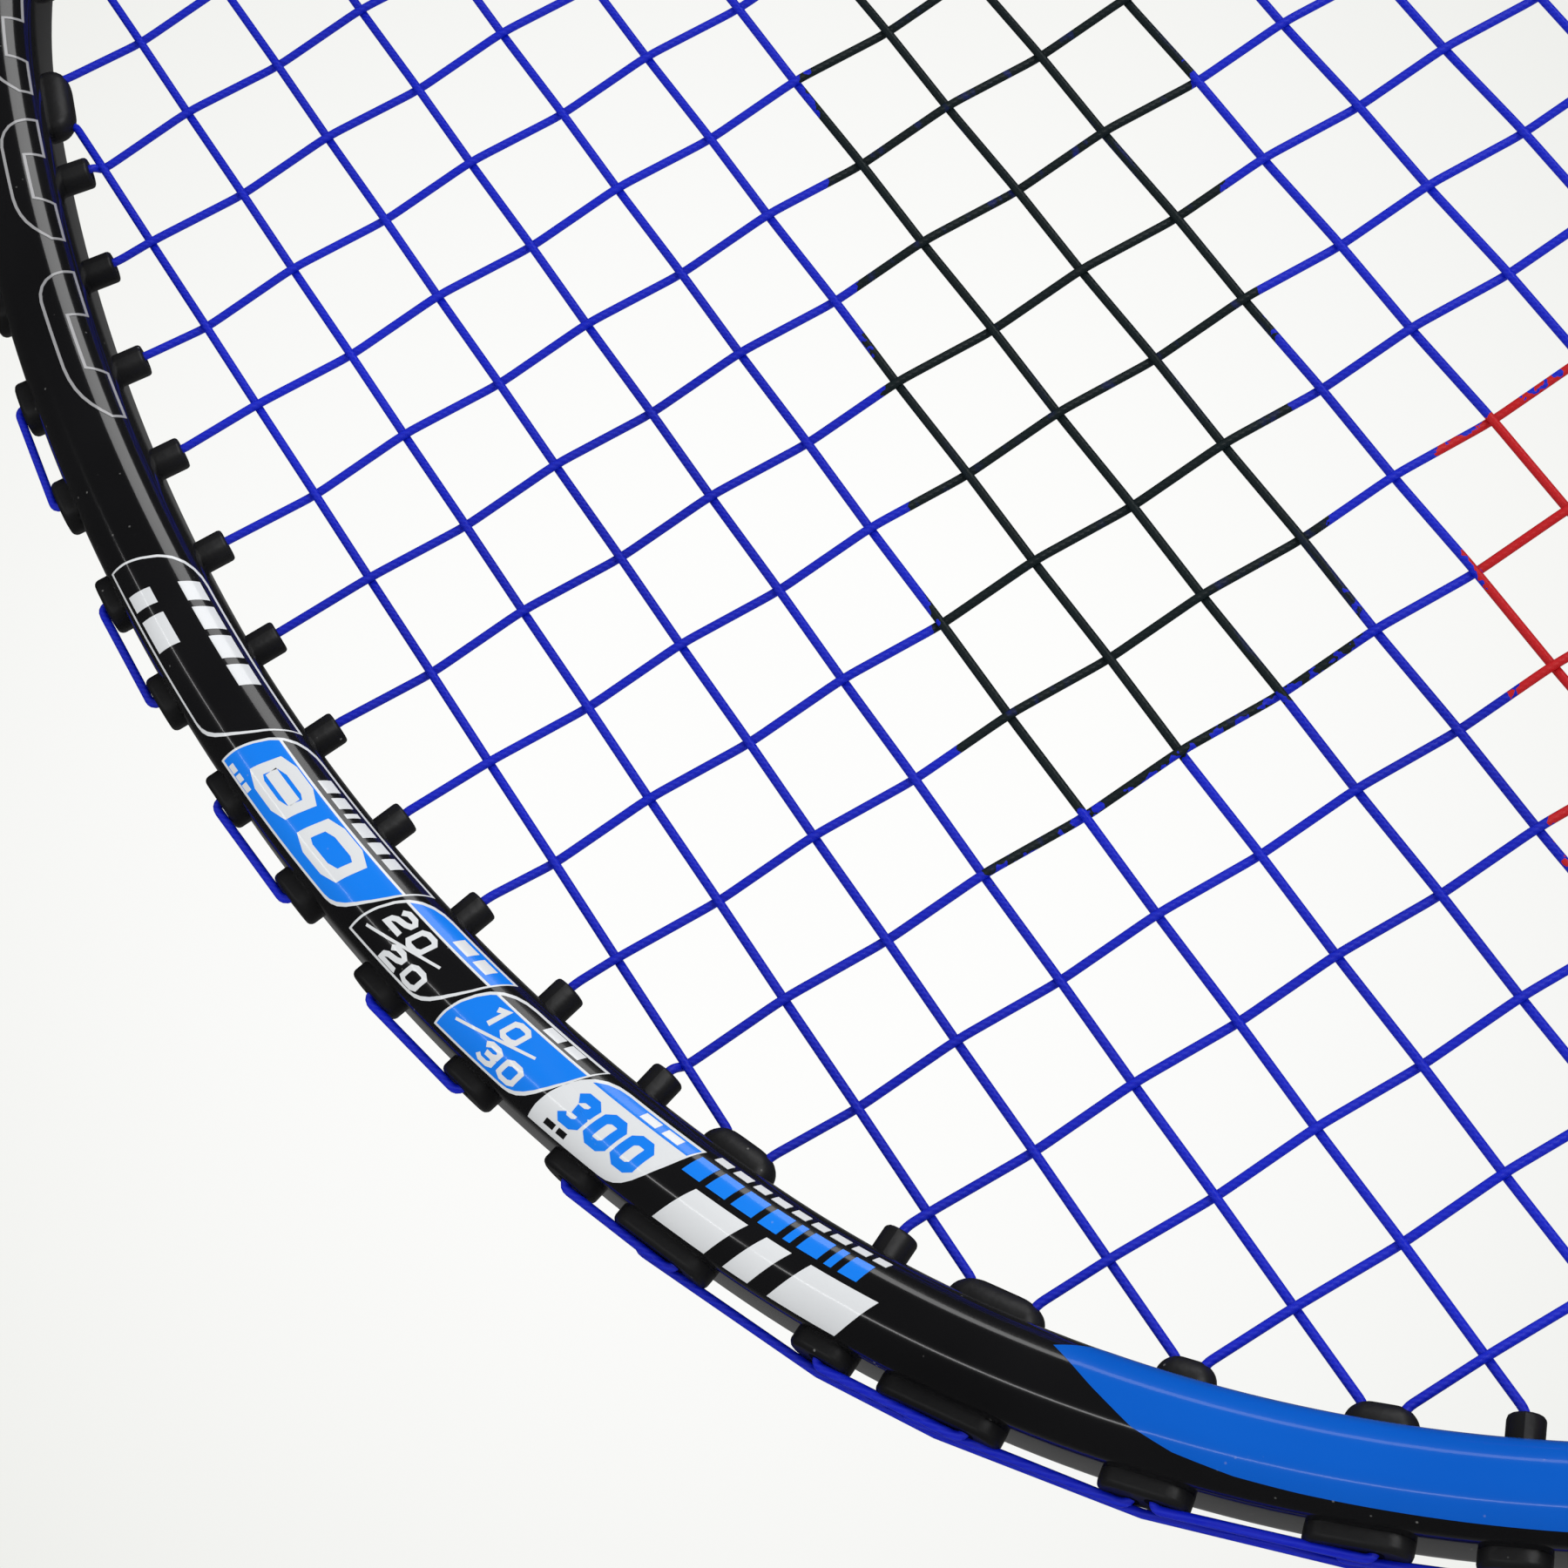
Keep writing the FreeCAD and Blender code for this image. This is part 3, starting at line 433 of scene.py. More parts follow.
def bars(bm, s, low, high, widths, gap, slant):
    """A row of slanting blocks that stands in for a printed word."""
    for width in widths:
        foot, top = low * slant, high * slant
        outline = [(s + foot, low), (s + width + foot, low), (s + width + top, high), (s + top, high)]
        ring_face(bm, [(x * MM, p * MM, 0) for x, p in outline])
        s += width + gap


# Data panels: name, outline (start, end, outer edge, inner edge), finish, finish of the inner strip
# and where that strip begins. All print sizes are in millimetres.
PANELS = [
    ("code", (163.5, 185.0, -3.4, 3.5), "black", None, None),
    ("weight", (183.1, 203.3, -3.2, 3.5), "blue", "black", 1.5),
    ("pattern", (200.8, 213.5, -3.3, 3.1), "black", "blue", 1.3),
    ("tension", (210.9, 223.8, -3.6, 2.6), "blue", "black", 1.3),
    ("balance", (220.9, 233.4, -4.1, 2.3), "white", "blue", 1.0),
]
PANEL_EDGE = 0.24
STRIP_GAP = 0.1
# Marks: name, finish, numerals (text, start, low, width, height, weight), where the strokes of the
# fractions start, and rows of blocks (start, low, high, widths, gap, slant).
MARKS = [
    ("light_marks", "white", [
        ("80", 186.2, -2.1, 13.6, 3.4, 0.92),
        ("20", 203.0, -0.9, 4.6, 1.9, 0.42),
        ("20", 205.1, -3.0, 4.6, 1.8, 0.42),
        ("10", 213.6, -0.8, 4.4, 1.8, 0.42),
        ("30", 215.9, -3.1, 4.4, 1.8, 0.42),
    ], (202.0, 212.4), [
        (189.2, 1.95, 2.95, (1.4, 1.2, 0.5, 1.6, 1.3, 1.2), 0.55, 0.3),
        (184.9, -2.9, -2.4, (0.8, 0.7, 0.8), 0.25, 0.3),
        (207.2, 1.7, 2.6, (1.7, 1.5), 0.6, 0.3),
        (217.4, 1.6, 2.3, (1.6, 1.4), 0.6, 0.3),
        (227.6, 1.3, 1.9, (1.5, 1.5), 0.6, 0.3),
        (167.6, 1.2, 2.8, (2.0, 2.4, 2.4, 2.2), 0.7, 0.3),
        (167.4, -2.8, -0.8, (1.6, 3.2), 1.0, 0.3),
    ]),
    ("blue_marks", "blue", [("300", 223.5, -2.5, 7.7, 2.9, 0.72)], (), [
        (233.0, 0.15, 1.75, (1.6, 1.7, 1.8, 1.6, 0.6, 1.7, 0.6, 1.5), 0.55, 0.3),
    ]),
    ("dark_marks", "black", [], (), [(223.4, -3.45, -2.85, (0.9, 0.8), 0.3, 0.3)]),
    ("block_marks", "white", [], (), [
        (235.0, -4.0, -0.35, (4.6, 2.1, 5.4), 1.6, 0.55),
        (233.6, 2.15, 2.75, (1.2, 1.3, 1.1, 1.3, 1.2, 1.1, 1.3, 1.2, 1.1), 0.5, 0.3),
    ]),
]
# Outlined shapes towards the tip: start and length
OUTLINES = [(104.0, 11.5), (118.5, 13.0), (135.0, 15.6)]
# The flash's upper edge from its point towards the throat, and its edge on the inside of the hoop
FLASH_EDGE = [
    (261.9, 2.1), (265.4, 0.2), (268.8, -1.5), (271.7, -2.3), (275.8, -2.8), (280.0, -2.95), (296.0, -3.2),
]
FLASH_INSIDE = (266.0, 4.9)
# Heights of the prints' faces: each layer covers the one before it
PRINT_FOOT, FLASH_TOP, EDGE_TOP, FIELD_TOP, INK_TOP = (t * MM for t in (-0.03, 0.016, 0.014, 0.024, 0.034))


def outlined_shape(bm, s, run):
    """One rounded outline, open to the inside of the hoop."""
    low, high = (s, 3.3), (s + run, 3.3)
    loop = [low] + bend(low, (s + 0.1, 0.1), (s + 2.6, 0.0), 6)
    loop += [(s + run * 0.62, 0.0)] + bend((s + run * 0.62, 0.0), (s + run * 0.86, 0.1), (s + run, 2.2), 6) + [high]
    loop += [(s + run * 0.7, 3.3), (s + run * 0.66, 1.6), (s + run * 0.3, 1.6), (s + run * 0.3, 3.3), low]
    ribbon(bm, [(x * MM, p * MM) for x, p in loop], PANEL_EDGE * MM)


def build_prints(hoop, paints, side, turned):
    """Every print of one face: data panels, numerals and blocks, and outlined shapes."""
    pieces = []

    def lay(bm, what, paint, top=INK_TOP):
        pieces.append(wrap_print(hoop, bm, f"print_{side}_{what}", paints[paint], PRINT_FOOT, top, turned))

    for what, outline, main, strip, split in PANELS:
        lay(flat_panel(leaf(*outline)), what + "_edge", "white", EDGE_TOP)
        inset = leaf(*outline, PANEL_EDGE)
        if split:
            lay(flat_panel(inset, split - STRIP_GAP, False), what + "_field", main, FIELD_TOP)
            lay(flat_panel(inset, split + STRIP_GAP), what + "_strip", strip, FIELD_TOP)
        else:
            lay(flat_panel(inset), what + "_field", main, FIELD_TOP)
    for what, paint, texts, fractions, blocks in MARKS:
        bm = bmesh.new()
        for text in texts:
            numerals(bm, *text)
        for s in fractions:
            ribbon(bm, [(s * MM, -1.95 * MM), ((s + 6.8) * MM, -0.25 * MM)], 0.22 * MM)
        for block in blocks:
            bars(bm, *block)
        lay(bm, what, paint)
    bm = bmesh.new()
    for s, run in OUTLINES:
        outlined_shape(bm, s, run)
    lay(bm, "outlines", "grey")
    return pieces


def build_flash(hoop, paint, side, turned):
    """The azure flash on the inner half of the hoop, from one side round the throat to the other."""
    middle = arc_length(hoop_arcs(hoop)) / 2 / MM
    half = FLASH_EDGE + [(middle, FLASH_EDGE[-1][1])]
    mirrored = [(2 * middle - s, p) for s, p in reversed([FLASH_INSIDE] + FLASH_EDGE)]
    bm = flat_panel(half + mirrored + [FLASH_INSIDE])
    return wrap_print(hoop, bm, f"flash_{side}", paint, PRINT_FOOT, FLASH_TOP, turned)


# ------------------------------------------------------------------ strings and grommets

# Room between a barrel and the place where its string turns, and between two touching surfaces
MOUTH_REST, STRING_REST = 0.35 * MM, 0.05 * MM
# How far a string runs from the middle of the hoop's depth: inside a grommet, and next to the tie-offs
LANE, EDGE_LANE = 0.4 * MM, 1.2 * MM
# Distance of a tie-off's hole from its main; holes closer than the second one share a grommet
TIE_SPACING, SHARED_SPACING = 1.7 * MM, 5.3 * MM
# Part of a run that is rounded at each crossing; sharper turns than the next one get a bend of their own
ROUNDED_SHARE, WEAVE_TURN, OUTSIDE_BEND = 0.16, math.radians(8), 0.8 * MM
KNOT_STAND, KNOT_TAIL, KNOT_TURNS, KNOT_STEPS = 3 * MM, 3 * MM, 2, 48
# Radius of the near-black discs of painted shade that stand for the grommets' holes, and their lift off the flange
HOLE_RADIUS, HOLE_LIFT = 0.62 * MM, 0.012 * MM


def string_offset(strings, family, number):
    """X of a main or Z of a cross."""
    if family == "main":
        return (number - (strings.mains - 1) / 2) * strings.main_pitch
    return strings.top_cross - number * strings.cross_pitch


def station(hoop, strings, key, proud):
    """Where one end of a string meets its grommet inside the hoop, and its place along the centreline."""
    family, number, far = key
    arcs = hoop_arcs(hoop)
    inset = hoop.tube_width / 2 + proud + MOUTH_REST
    vertical = family == "main"
    for index, (x, z, radius, a, b) in enumerate(arcs):
        r = radius - inset
        offset = string_offset(strings, family, number) - (x if vertical else z)
        if abs(offset) >= r:
            continue
        reach = far * math.sqrt(r * r - offset * offset)
        dx, dz = (offset, reach) if vertical else (reach, offset)
        turn = math.atan2(dz, dx) % math.tau
        if turn < a:
            turn += math.tau
        if a <= turn <= b:
            place = arc_length(arcs[:index]) + radius * (turn - a)
            return {"mouth": Vector((x + dx, 0, z + dz)), "normal": Vector((dx / r, 0, dz / r)), "place": place}
    raise ValueError("a string misses the hoop")


def tie_station(host):
    """A tie-off's hole, beside the main that shares its grommet."""
    onward = host["normal"].cross(DEPTH)
    away = TIE_SPACING if onward.x * host["mouth"].x > 0 else -TIE_SPACING
    return {"mouth": host["mouth"] + onward * away, "normal": host["normal"], "place": host["place"] + away}


def shared_clusters(places, tall_place):
    """Holes that share one grommet: close neighbours, and single ones whose barrels would meet."""
    keys = sorted(places, key=lambda key: places[key]["place"])
    clusters = [[keys[0]]]
    for key in keys[1:]:
        if places[key]["place"] - places[clusters[-1][-1]]["place"] < SHARED_SPACING:
            clusters[-1].append(key)
        else:
            clusters.append([key])
    joined = [clusters[0]]
    for keys in clusters[1:]:
        last = joined[-1]
        alone = len(last) == 1 and len(keys) == 1
        if alone and tall_place(keys[0]) - tall_place(last[0]) < SHARED_SPACING:
            joined[-1] = last + keys
        else:
            joined.append(keys)
    return joined


def seat_fitting(hoop, grommets, places, keys, outside):
    """Places one grommet and the bores of its strings."""
    proud = grommets.proud if len(keys) == 1 else grommets.shared_proud
    normal = sum((places[key]["normal"] for key in keys), Vector()).normalized()
    middle = sum((places[key]["mouth"] for key in keys), Vector()) / len(keys)
    tangent = DEPTH.cross(normal)
    inset = hoop.tube_width / 2 + proud + MOUTH_REST
    spots = []
    for key in keys:
        item = places[key]
        along = (item["mouth"] - middle).dot(tangent)
        item["bore"] = middle + tangent * along + DEPTH * item["lane"]
        item["outer"] = item["bore"] + normal * (inset + outside)
        spots.append((along, item["lane"]))
    return {
        "centre": middle + normal * inset, "normal": normal, "tangent": tangent, "spots": spots,
        "keys": keys, "place": sum(places[key]["place"] for key in keys) / len(keys),
    }


def plan_strings(hoop, strings, grommets):
    """Where each string passes the tube, and which places share one grommet."""
    places = {}
    for far in (1, -1):
        for family, count in (("main", strings.mains), ("cross", strings.crosses)):
            for number in range(count):
                key = family, number, far
                places[key] = station(hoop, strings, key, grommets.shared_proud)
    ties = [("main tie", strings.main_tie, -1), ("main tie", strings.mains - 1 - strings.main_tie, -1)]
    ties += [("cross tie", strings.tip_tie, 1), ("cross tie", strings.throat_tie, -1)]
    for tie in ties:
        places[tie] = tie_station(places["main", tie[1], tie[2]])
    for key, item in places.items():
        item["lane"] = LANE if key[0].startswith("main") else -LANE
    outside = hoop.tube_width / 2 + grommets.flange_thickness + STRING_REST + strings.diameter / 2
    fittings = []
    for keys in shared_clusters(places, lambda key: station(hoop, strings, key, grommets.proud)["place"]):
        if len(keys) == 1:
            places[keys[0]].update(station(hoop, strings, keys[0], grommets.proud))
        fittings.append(seat_fitting(hoop, grommets, places, keys, outside))
    total = arc_length(hoop_arcs(hoop))
    return {"places": places, "fittings": fittings, "ties": ties, "outside": outside, "length": total}


def strand_points(strings, plan, family, number, start):
    """One strand from mouth to mouth: straight runs, rounded where it passes over or under another."""
    places = plan["places"]
    first, last = places[family, number, start]["bore"], places[family, number, -start]["bore"]
    along = 2 if family == "main" else 0
    low, high = sorted((first[along], last[along]))
    partner = "cross" if family == "main" else "main"
    crossings = []
    for other in range(strings.crosses if family == "main" else strings.mains):
        i, k = (number, other) if family == "main" else (other, number)
        side = 1 if (i + k) % 2 == 0 else -1
        height = side * strings.main_wave if family == "main" else -side * strings.cross_wave
        point = Vector((string_offset(strings, "main", i), height, string_offset(strings, "cross", k)))
        reach = sorted(places[partner, other, far]["bore"][2 - along] for far in (1, -1))
        if low < point[along] < high and reach[0] < point[2 - along] < reach[1]:
            crossings.append(point)
    crossings.sort(key=lambda point: point[along], reverse=first[along] > last[along])
    corners = [first] + crossings + [last]
    points = [first]
    for before, corner, after in zip(corners, corners[1:], corners[2:]):
        for share in (-ROUNDED_SHARE, -ROUNDED_SHARE / 2, 0.0, ROUNDED_SHARE / 2, ROUNDED_SHARE):
            point = corner.lerp(before if share < 0 else after, abs(share))
            sag = (ROUNDED_SHARE - abs(share)) ** 2 / (2 * ROUNDED_SHARE)
            point.y += ((before.y + after.y) / 2 - corner.y) * sag
            points.append(point)
    return points + [last]


def outside_points(plan, start, finish, lane):
    """The short run outside the hoop, over every flange between two places."""
    places, total = plan["places"], plan["length"]
    a, b = places[start]["place"], places[finish]["place"]
    b += total * round((a - b) / total)
    passed = []
    for fitting in plan["fittings"]:
        if start in fitting["keys"] or finish in fitting["keys"]:
            continue
        for place in (fitting["place"] - total, fitting["place"], fitting["place"] + total):
            if min(a, b) < place < max(a, b):
                top = fitting["centre"] + fitting["normal"] * plan["outside"]
                passed.append((place, Vector((top.x, lane, top.z))))
    passed.sort(key=lambda item: item[0], reverse=a > b)
    return [places[start]["outer"]] + [point for place, point in passed] + [places[finish]["outer"]]


def rounded_path(points, radius):
    """Corners sharper than a woven string's own swing are rounded off."""
    path = [points[0]]
    for before, corner, after in zip(points, points[1:], points[2:]):
        arriving, leaving = before - corner, after - corner
        if arriving.angle(-leaving, 0) < WEAVE_TURN:
            path.append(corner)
            continue
        reach = min(radius, 0.45 * arriving.length, 0.45 * leaving.length)
        a, b = corner + arriving.normalized() * reach, corner + leaving.normalized() * reach
        path += [a] + [Vector(point) for point in bend(a, corner, b, 5)]
    return path + [points[-1]]


def knot_place(strings, plan, tie):
    """Where the string touches its knot, and the knot's middle on the main beside it."""
    family, i, far = tie
    host = plan["places"]["main", i, far]["bore"]
    centre = host - UP * (far * KNOT_STAND)
    side = 1 if plan["places"][tie]["bore"].x > host.x else -1
    return centre + Vector((side * (strings.diameter * 2 - STRING_REST), 0, 0)), centre


def string_path(strings, plan, family):
    """The whole route of the mains or of the crosses, from one knot to the other."""
    places = plan["places"]
    first, last = [tie for tie in plan["ties"] if tie[0] == family + " tie"]
    count = strings.mains if family == "main" else strings.crosses
    lane = LANE if family == "main" else -LANE
    edge_lane = EDGE_LANE if family == "main" else lane
    far = -1
    path = [knot_place(strings, plan, first)[0], places[first]["bore"]]
    path += outside_points(plan, first, (family, 0, far), edge_lane)
    for number in range(count):
        path += strand_points(strings, plan, family, number, far)
        far = -far
        if number < count - 1:
            path += outside_points(plan, (family, number, far), (family, number + 1, far), lane)
    path += outside_points(plan, (family, count - 1, far), last, edge_lane)
    path += [places[last]["bore"], knot_place(strings, plan, last)[0]]
    return rounded_path(path, OUTSIDE_BEND)


def knot_paths(strings, plan, tie):
    """Two turns of string round the main, and the cut end."""
    centre = knot_place(strings, plan, tie)[1]
    radius = strings.diameter + STRING_REST
    winding = []
    for n in range(KNOT_STEPS + 1):
        share = n / KNOT_STEPS
        turn = math.tau * KNOT_TURNS * share - math.pi / 2
        lift = (share - 0.5) * strings.diameter * 2.1
        winding.append(centre + Vector((radius * math.cos(turn), radius * math.sin(turn), lift)))
    tail = Vector((-0.5, -0.4, -0.75 * tie[2])).normalized() * KNOT_TAIL
    start = winding[0] if tie[2] > 0 else winding[-1]
    return [winding, [start, start + tail * 0.5, start + tail]]


def build_strings(hoop, strings, grommets, material):
    plan = plan_strings(hoop, strings, grommets)
    pieces = []
    for family in ("main", "cross"):
        knots = []
        for tie in plan["ties"]:
            if tie[0] == family + " tie":
                knots += knot_paths(strings, plan, tie)
        bed = [string_path(strings, plan, family)]
        for name, node, paths in (("_string_bed", "_string", bed), ("_tie_knots", "_knots", knots)):
            mesh = tube_mesh(family + name, paths, strings.diameter / 2)
            pieces.append(place_mesh(family + name, mesh, [material], nodes=[family + node]))
    return pieces


def slot_outline(low, high, radius, steps=8):
    """Points of a slot with round ends, in the XY plane."""
    points = []
    for centre, start in ((high, -90), (low, 90)):
        for n in range(steps + 1):
            turn = math.radians(start + 180 * n / steps)
            points.append((centre + radius * math.cos(turn), radius * math.sin(turn)))
    return points


def slot_rows(bm, low, high, rows):
    """Skin through slots of changing size; each row is (radius in millimetres, height, share of the length)."""
    middle, half = (low + high) / 2, (high - low) / 2
    rings = []
    for radius, height, share in rows:
        outline = slot_outline(middle - half * share, middle + half * share, radius * MM)
        rings.append([(x, y, height) for x, y in outline])
    skin_rows(bm, rings)


def barrel_profile(grommets, shared):
    """Rows of a barrel inside the head, or of a low arched block, as (radius, height, share) in millimetres."""
    r = grommets.barrel / 2 / MM
    if shared:
        rows = [(r, -1.0, 1.0), (r, 0.2, 1.0)]
        for n in range(1, 9):
            turn = math.radians(10.5 * n)
            share = 0.3 + 0.7 * math.cos(turn) ** 0.6
            rows.append((r * (0.25 + 0.75 * math.cos(turn)), 0.2 + 1.6 * math.sin(turn), share))
        return rows
    tall = grommets.proud / MM
    edge = [(0.0, -0.28), (0.05, -0.12), (0.15, -0.03), (0.3, 0.0)]
    mouth = [(0.72, 0.0), (0.64, -0.06), (0.60, -0.2), (0.58, -1.6)]
    rows = [(r, -1.0)] + [(r - cut, tall + drop) for cut, drop in edge]
    return [(*row, 1.0) for row in rows + [(radius, tall + drop) for radius, drop in mouth]]


def flange_profile(grommets):
    """Rows of the outer flange with its rounded edge, as (radius, height) in millimetres."""
    r, top = grommets.flange_width / 2 / MM, grommets.flange_thickness / MM
    edge = [(0.0, -0.42), (0.05, -0.24), (0.16, -0.10), (0.32, -0.02), (0.5, 0.0)]
    return [(r, -0.3)] + [(r - cut, top + drop) for cut, drop in edge]


def add_fitting(bm, hoop, grommets, fitting):
    """One grommet: a barrel or a low arched block inside, and a flange outside with a near-black disc of painted
    shade where each hole is.
    """
    new = bmesh.new()
    spots = [along for along, lane in fitting["spots"]]
    low, high = min(spots), max(spots)
    wall = hoop.tube_width / 2
    rows = barrel_profile(grommets, high - low > 0.1 * MM)
    slot_rows(new, low, high, [(radius, -wall - height * MM, share) for radius, height, share in rows])
    rows = flange_profile(grommets)
    reach = grommets.flange_end - rows[0][0] * MM
    slot_rows(new, low - reach, high + reach, [(radius, wall + height * MM, 1.0) for radius, height in rows])
    bmesh.ops.recalc_face_normals(new, faces=new.faces)
    # Each hole is a flat near-black disc of painted shade laid just above the flange's top, with the second
    # material
    for along, lane in fitting["spots"]:
        made = bmesh.ops.create_circle(new, cap_ends=True, segments=20, radius=HOLE_RADIUS)
        place = along, lane, wall + grommets.flange_thickness + HOLE_LIFT
        bmesh.ops.translate(new, vec=place, verts=made["verts"])
        for face in made["verts"][0].link_faces:
            face.material_index = 1
    axes = Matrix((fitting["tangent"], DEPTH, fitting["normal"])).transposed()
    bmesh.ops.transform(new, matrix=Matrix.Translation(fitting["centre"]) @ axes.to_4x4(), verts=new.verts)
    mesh = bpy.data.meshes.new("fitting")
    new.to_mesh(mesh)
    new.free()
    bm.from_mesh(mesh)
    bpy.data.meshes.remove(mesh)


def fitting_group(hoop, fitting):
    """The CAD node that a grommet belongs to."""
    x, z, normal = fitting["centre"].x, fitting["centre"].z, fitting["normal"]
    turn = math.atan2(normal.z, abs(normal.x))
    side = "left" if x < 0 else "right"
    if len(fitting["keys"]) > 1:
        return ("upper_" if z > hoop.widest_height else "lower_") + side + "_shared_grommets"
    if turn > hoop.tip_end:
        return "tip_grommets"
    if turn < -hoop.throat_end:
        return "throat_grommets"
    return side + "_grommets"


def build_grommets(hoop, strings, grommets, materials):
    groups = {}
    for fitting in plan_strings(hoop, strings, grommets)["fittings"]:
        groups.setdefault(fitting_group(hoop, fitting), []).append(fitting)
    pieces = []
    for node, fittings in groups.items():
        bm = bmesh.new()
        for fitting in fittings:
            add_fitting(bm, hoop, grommets, fitting)
        mesh = bpy.data.meshes.new(node + "_row")
        bm.to_mesh(mesh)
        bm.free()
        pieces.append(place_mesh(node + "_row", mesh, materials, nodes=[node]))
    return pieces


# ------------------------------------------------------------------ throat, shaft and handle

# How closely the handle's outline follows its eight flats
FLAT_SHARPNESS = 40
CONE_FOOT, CONE_WAIST, CONE_TIP = 10.6 * MM, 6.4 * MM, 4.9 * MM
# The fairing's slots: width, depth, height of the cutter above the hoop's underside, and inner end
SLOT_WIDTH, SLOT_DEPTH, SLOT_SPARE, SLOT_INNER = 3.9 * MM, 2.3 * MM, 4 * MM, 1.6 * MM
# Distance of the shaft's upper end below the hoop
SHAFT_STOP = 9 * MM
WRAP_BOTTOM, WRAP_TOP, WRAP_STEP, WRAP_ROWS = 3.4 * MM, 180 * MM, 0.75 * MM, 236
GRIP_POINTS, GRIP_GIRTH = 128, 82 * MM
# Part of a turn in which the grip rises again after its seam
SEAM_SHARE = 0.07
TAPE = 0.3 * MM


def skin_rows(bm, rows, capped=True):
    """Closed rings of points joined into a skin, with its first and last ring filled if it is capped."""
    rings = [[bm.verts.new(point) for point in row] for row in rows]
    for lower, upper in zip(rings, rings[1:]):
        for n in range(len(lower)):
            bm.faces.new((lower[n - 1], lower[n], upper[n], upper[n - 1]))
    if capped:
        bm.faces.new(rings[0])
        bm.faces.new(rings[-1])


def around_z(radius_at, height, count=96):
    """Ring of points about the Z axis at one height, from a function of the angle."""
    turns = [math.tau * n / count for n in range(count)]
    return [(radius_at(t) * math.cos(t), radius_at(t) * math.sin(t), height) for t in turns]


def turned_piece(name, profile, count, material, node):
    """A piece turned about the Z axis, from (radius, height) pairs."""
    bm = bmesh.new()
    skin_rows(bm, [around_z(lambda t, radius=radius: radius, z, count) for radius, z in profile])
    return finish_mesh(name, bm, material, nodes=[node])


def ellipse_radius(half_width, half_depth):
    return lambda t: half_width * half_depth / math.hypot(half_depth * math.cos(t), half_width * math.sin(t))


def octagon_radius(handle, offset):
    """Radius of the handle's eight flats in a direction, with softly rounded corners."""
    across, deep = handle.width / 2 + offset, handle.depth / 2 + offset
    slanted = (handle.width / 2 + handle.depth / 2 - handle.bevel) / math.sqrt(2) + offset
    flats = [(45 * n, flat) for n, flat in enumerate((across, slanted, deep, slanted) * 2)]

    def radius(t):
        total = sum(max(0.0, math.cos(t - math.radians(a)) / d) ** FLAT_SHARPNESS for a, d in flats)
        return total ** (-1 / FLAT_SHARPNESS)

    return radius


def between(profile, z):
    """Value of a list of (height, value) pairs at a height, straight between them."""
    for (z0, v0), (z1, v1) in zip(profile, profile[1:]):
        if z <= z1:
            return v0 + (v1 - v0) * max(0, z - z0) / (z1 - z0)
    return profile[-1][1]


def cone_radius(handle, z):
    """Radius of the cone cap, whose side is one arc through its foot, waist and tip."""
    foot = Vector((CONE_FOOT, handle.top))
    waist = Vector((CONE_WAIST, (handle.top + handle.cone_top) / 2))
    tip = Vector((CONE_TIP, handle.cone_top))
    a, b = waist - foot, tip - foot
    scale = 2 * (a.x * b.y - a.y * b.x)
    cx = (b.y * a.length_squared - a.y * b.length_squared) / scale
    cz = (a.x * b.length_squared - b.x * a.length_squared) / scale
    radius = math.hypot(cx, cz)
    return foot.x + cx - math.sqrt(radius ** 2 - (z - foot.y - cz) ** 2)


def slot_cutter(throat, under):
    """Two boxes that cut the slots for the strings into the fairing's sides."""
    bm = bmesh.new()
    for side in (-1, 1):
        made = bmesh.ops.create_cube(bm, size=1)
        size = Vector((throat.fairing_half_width, SLOT_WIDTH, SLOT_DEPTH + SLOT_SPARE))
        centre = Vector((side * (SLOT_INNER + size.x / 2), 0, under - SLOT_DEPTH + size.z / 2))
        bmesh.ops.scale(bm, vec=size, verts=made["verts"])
        bmesh.ops.translate(bm, vec=centre, verts=made["verts"])
    mesh = bpy.data.meshes.new("slot_cutter")
    bm.to_mesh(mesh)
    bm.free()
    return add_object("slot_cutter", mesh)


def build_fairing(hoop, throat, under, material):
    """The moulded fairing, which widens from the shaft's collar to the hoop, with its slots."""
    bottom, collar = under - throat.fairing_length, throat.collar
    rows = []
    for radius, z in ((0.7, 0.02), (0.25, 0.06), (0.06, 0.25)):
        lip = collar - radius * MM
        rows.append(around_z(ellipse_radius(lip, lip), bottom + z * MM, 64))
    for n in range(1, 25):
        t = n / 24
        depth = collar + (hoop.tube_depth / 2 - collar) * t * 0.9
        width = max(collar + (throat.fairing_half_width - collar) * t ** 3, depth + 0.01 * MM)
        height = bottom + t * (throat.fairing_length + 2 * MM)
        rows.append(around_z(ellipse_radius(width, depth), height, 64))
    bm = bmesh.new()
    skin_rows(bm, rows)
    fairing = finish_mesh("throat_blend", bm, material, nodes=["throat_fairing"])
    cutter = slot_cutter(throat, under)
    cut = fairing.modifiers.new("slots", "BOOLEAN")
    cut.operation, cut.object, cut.solver = "DIFFERENCE", cutter, "EXACT"
    mesh = applied_mesh(fairing)
    fairing.modifiers.clear()
    fairing.data = mesh
    mesh.set_sharp_from_angle(angle=SHARP)
    bpy.data.objects.remove(cutter)
    return fairing


def build_throat(hoop, throat, fairing_paint, shaft_paint):
    """The fairing under the hoop, and the shaft."""
    under = hoop.widest_height - hoop.throat_reach - hoop.tube_width / 2
    fairing = build_fairing(hoop, throat, under, fairing_paint)
    r, edge, low, top = throat.shaft / 2, 0.2 * MM, throat.shaft_bottom, under - SHAFT_STOP
    profile = [(r - edge, low), (r, low + edge)]
    profile += [(r, low + (top - low) * n / 12) for n in range(1, 12)]
    profile += [(r, top - edge), (r - edge, top)]
    return [fairing, turned_piece("shaft_rod", profile, 64, shaft_paint, "shaft_tube")]


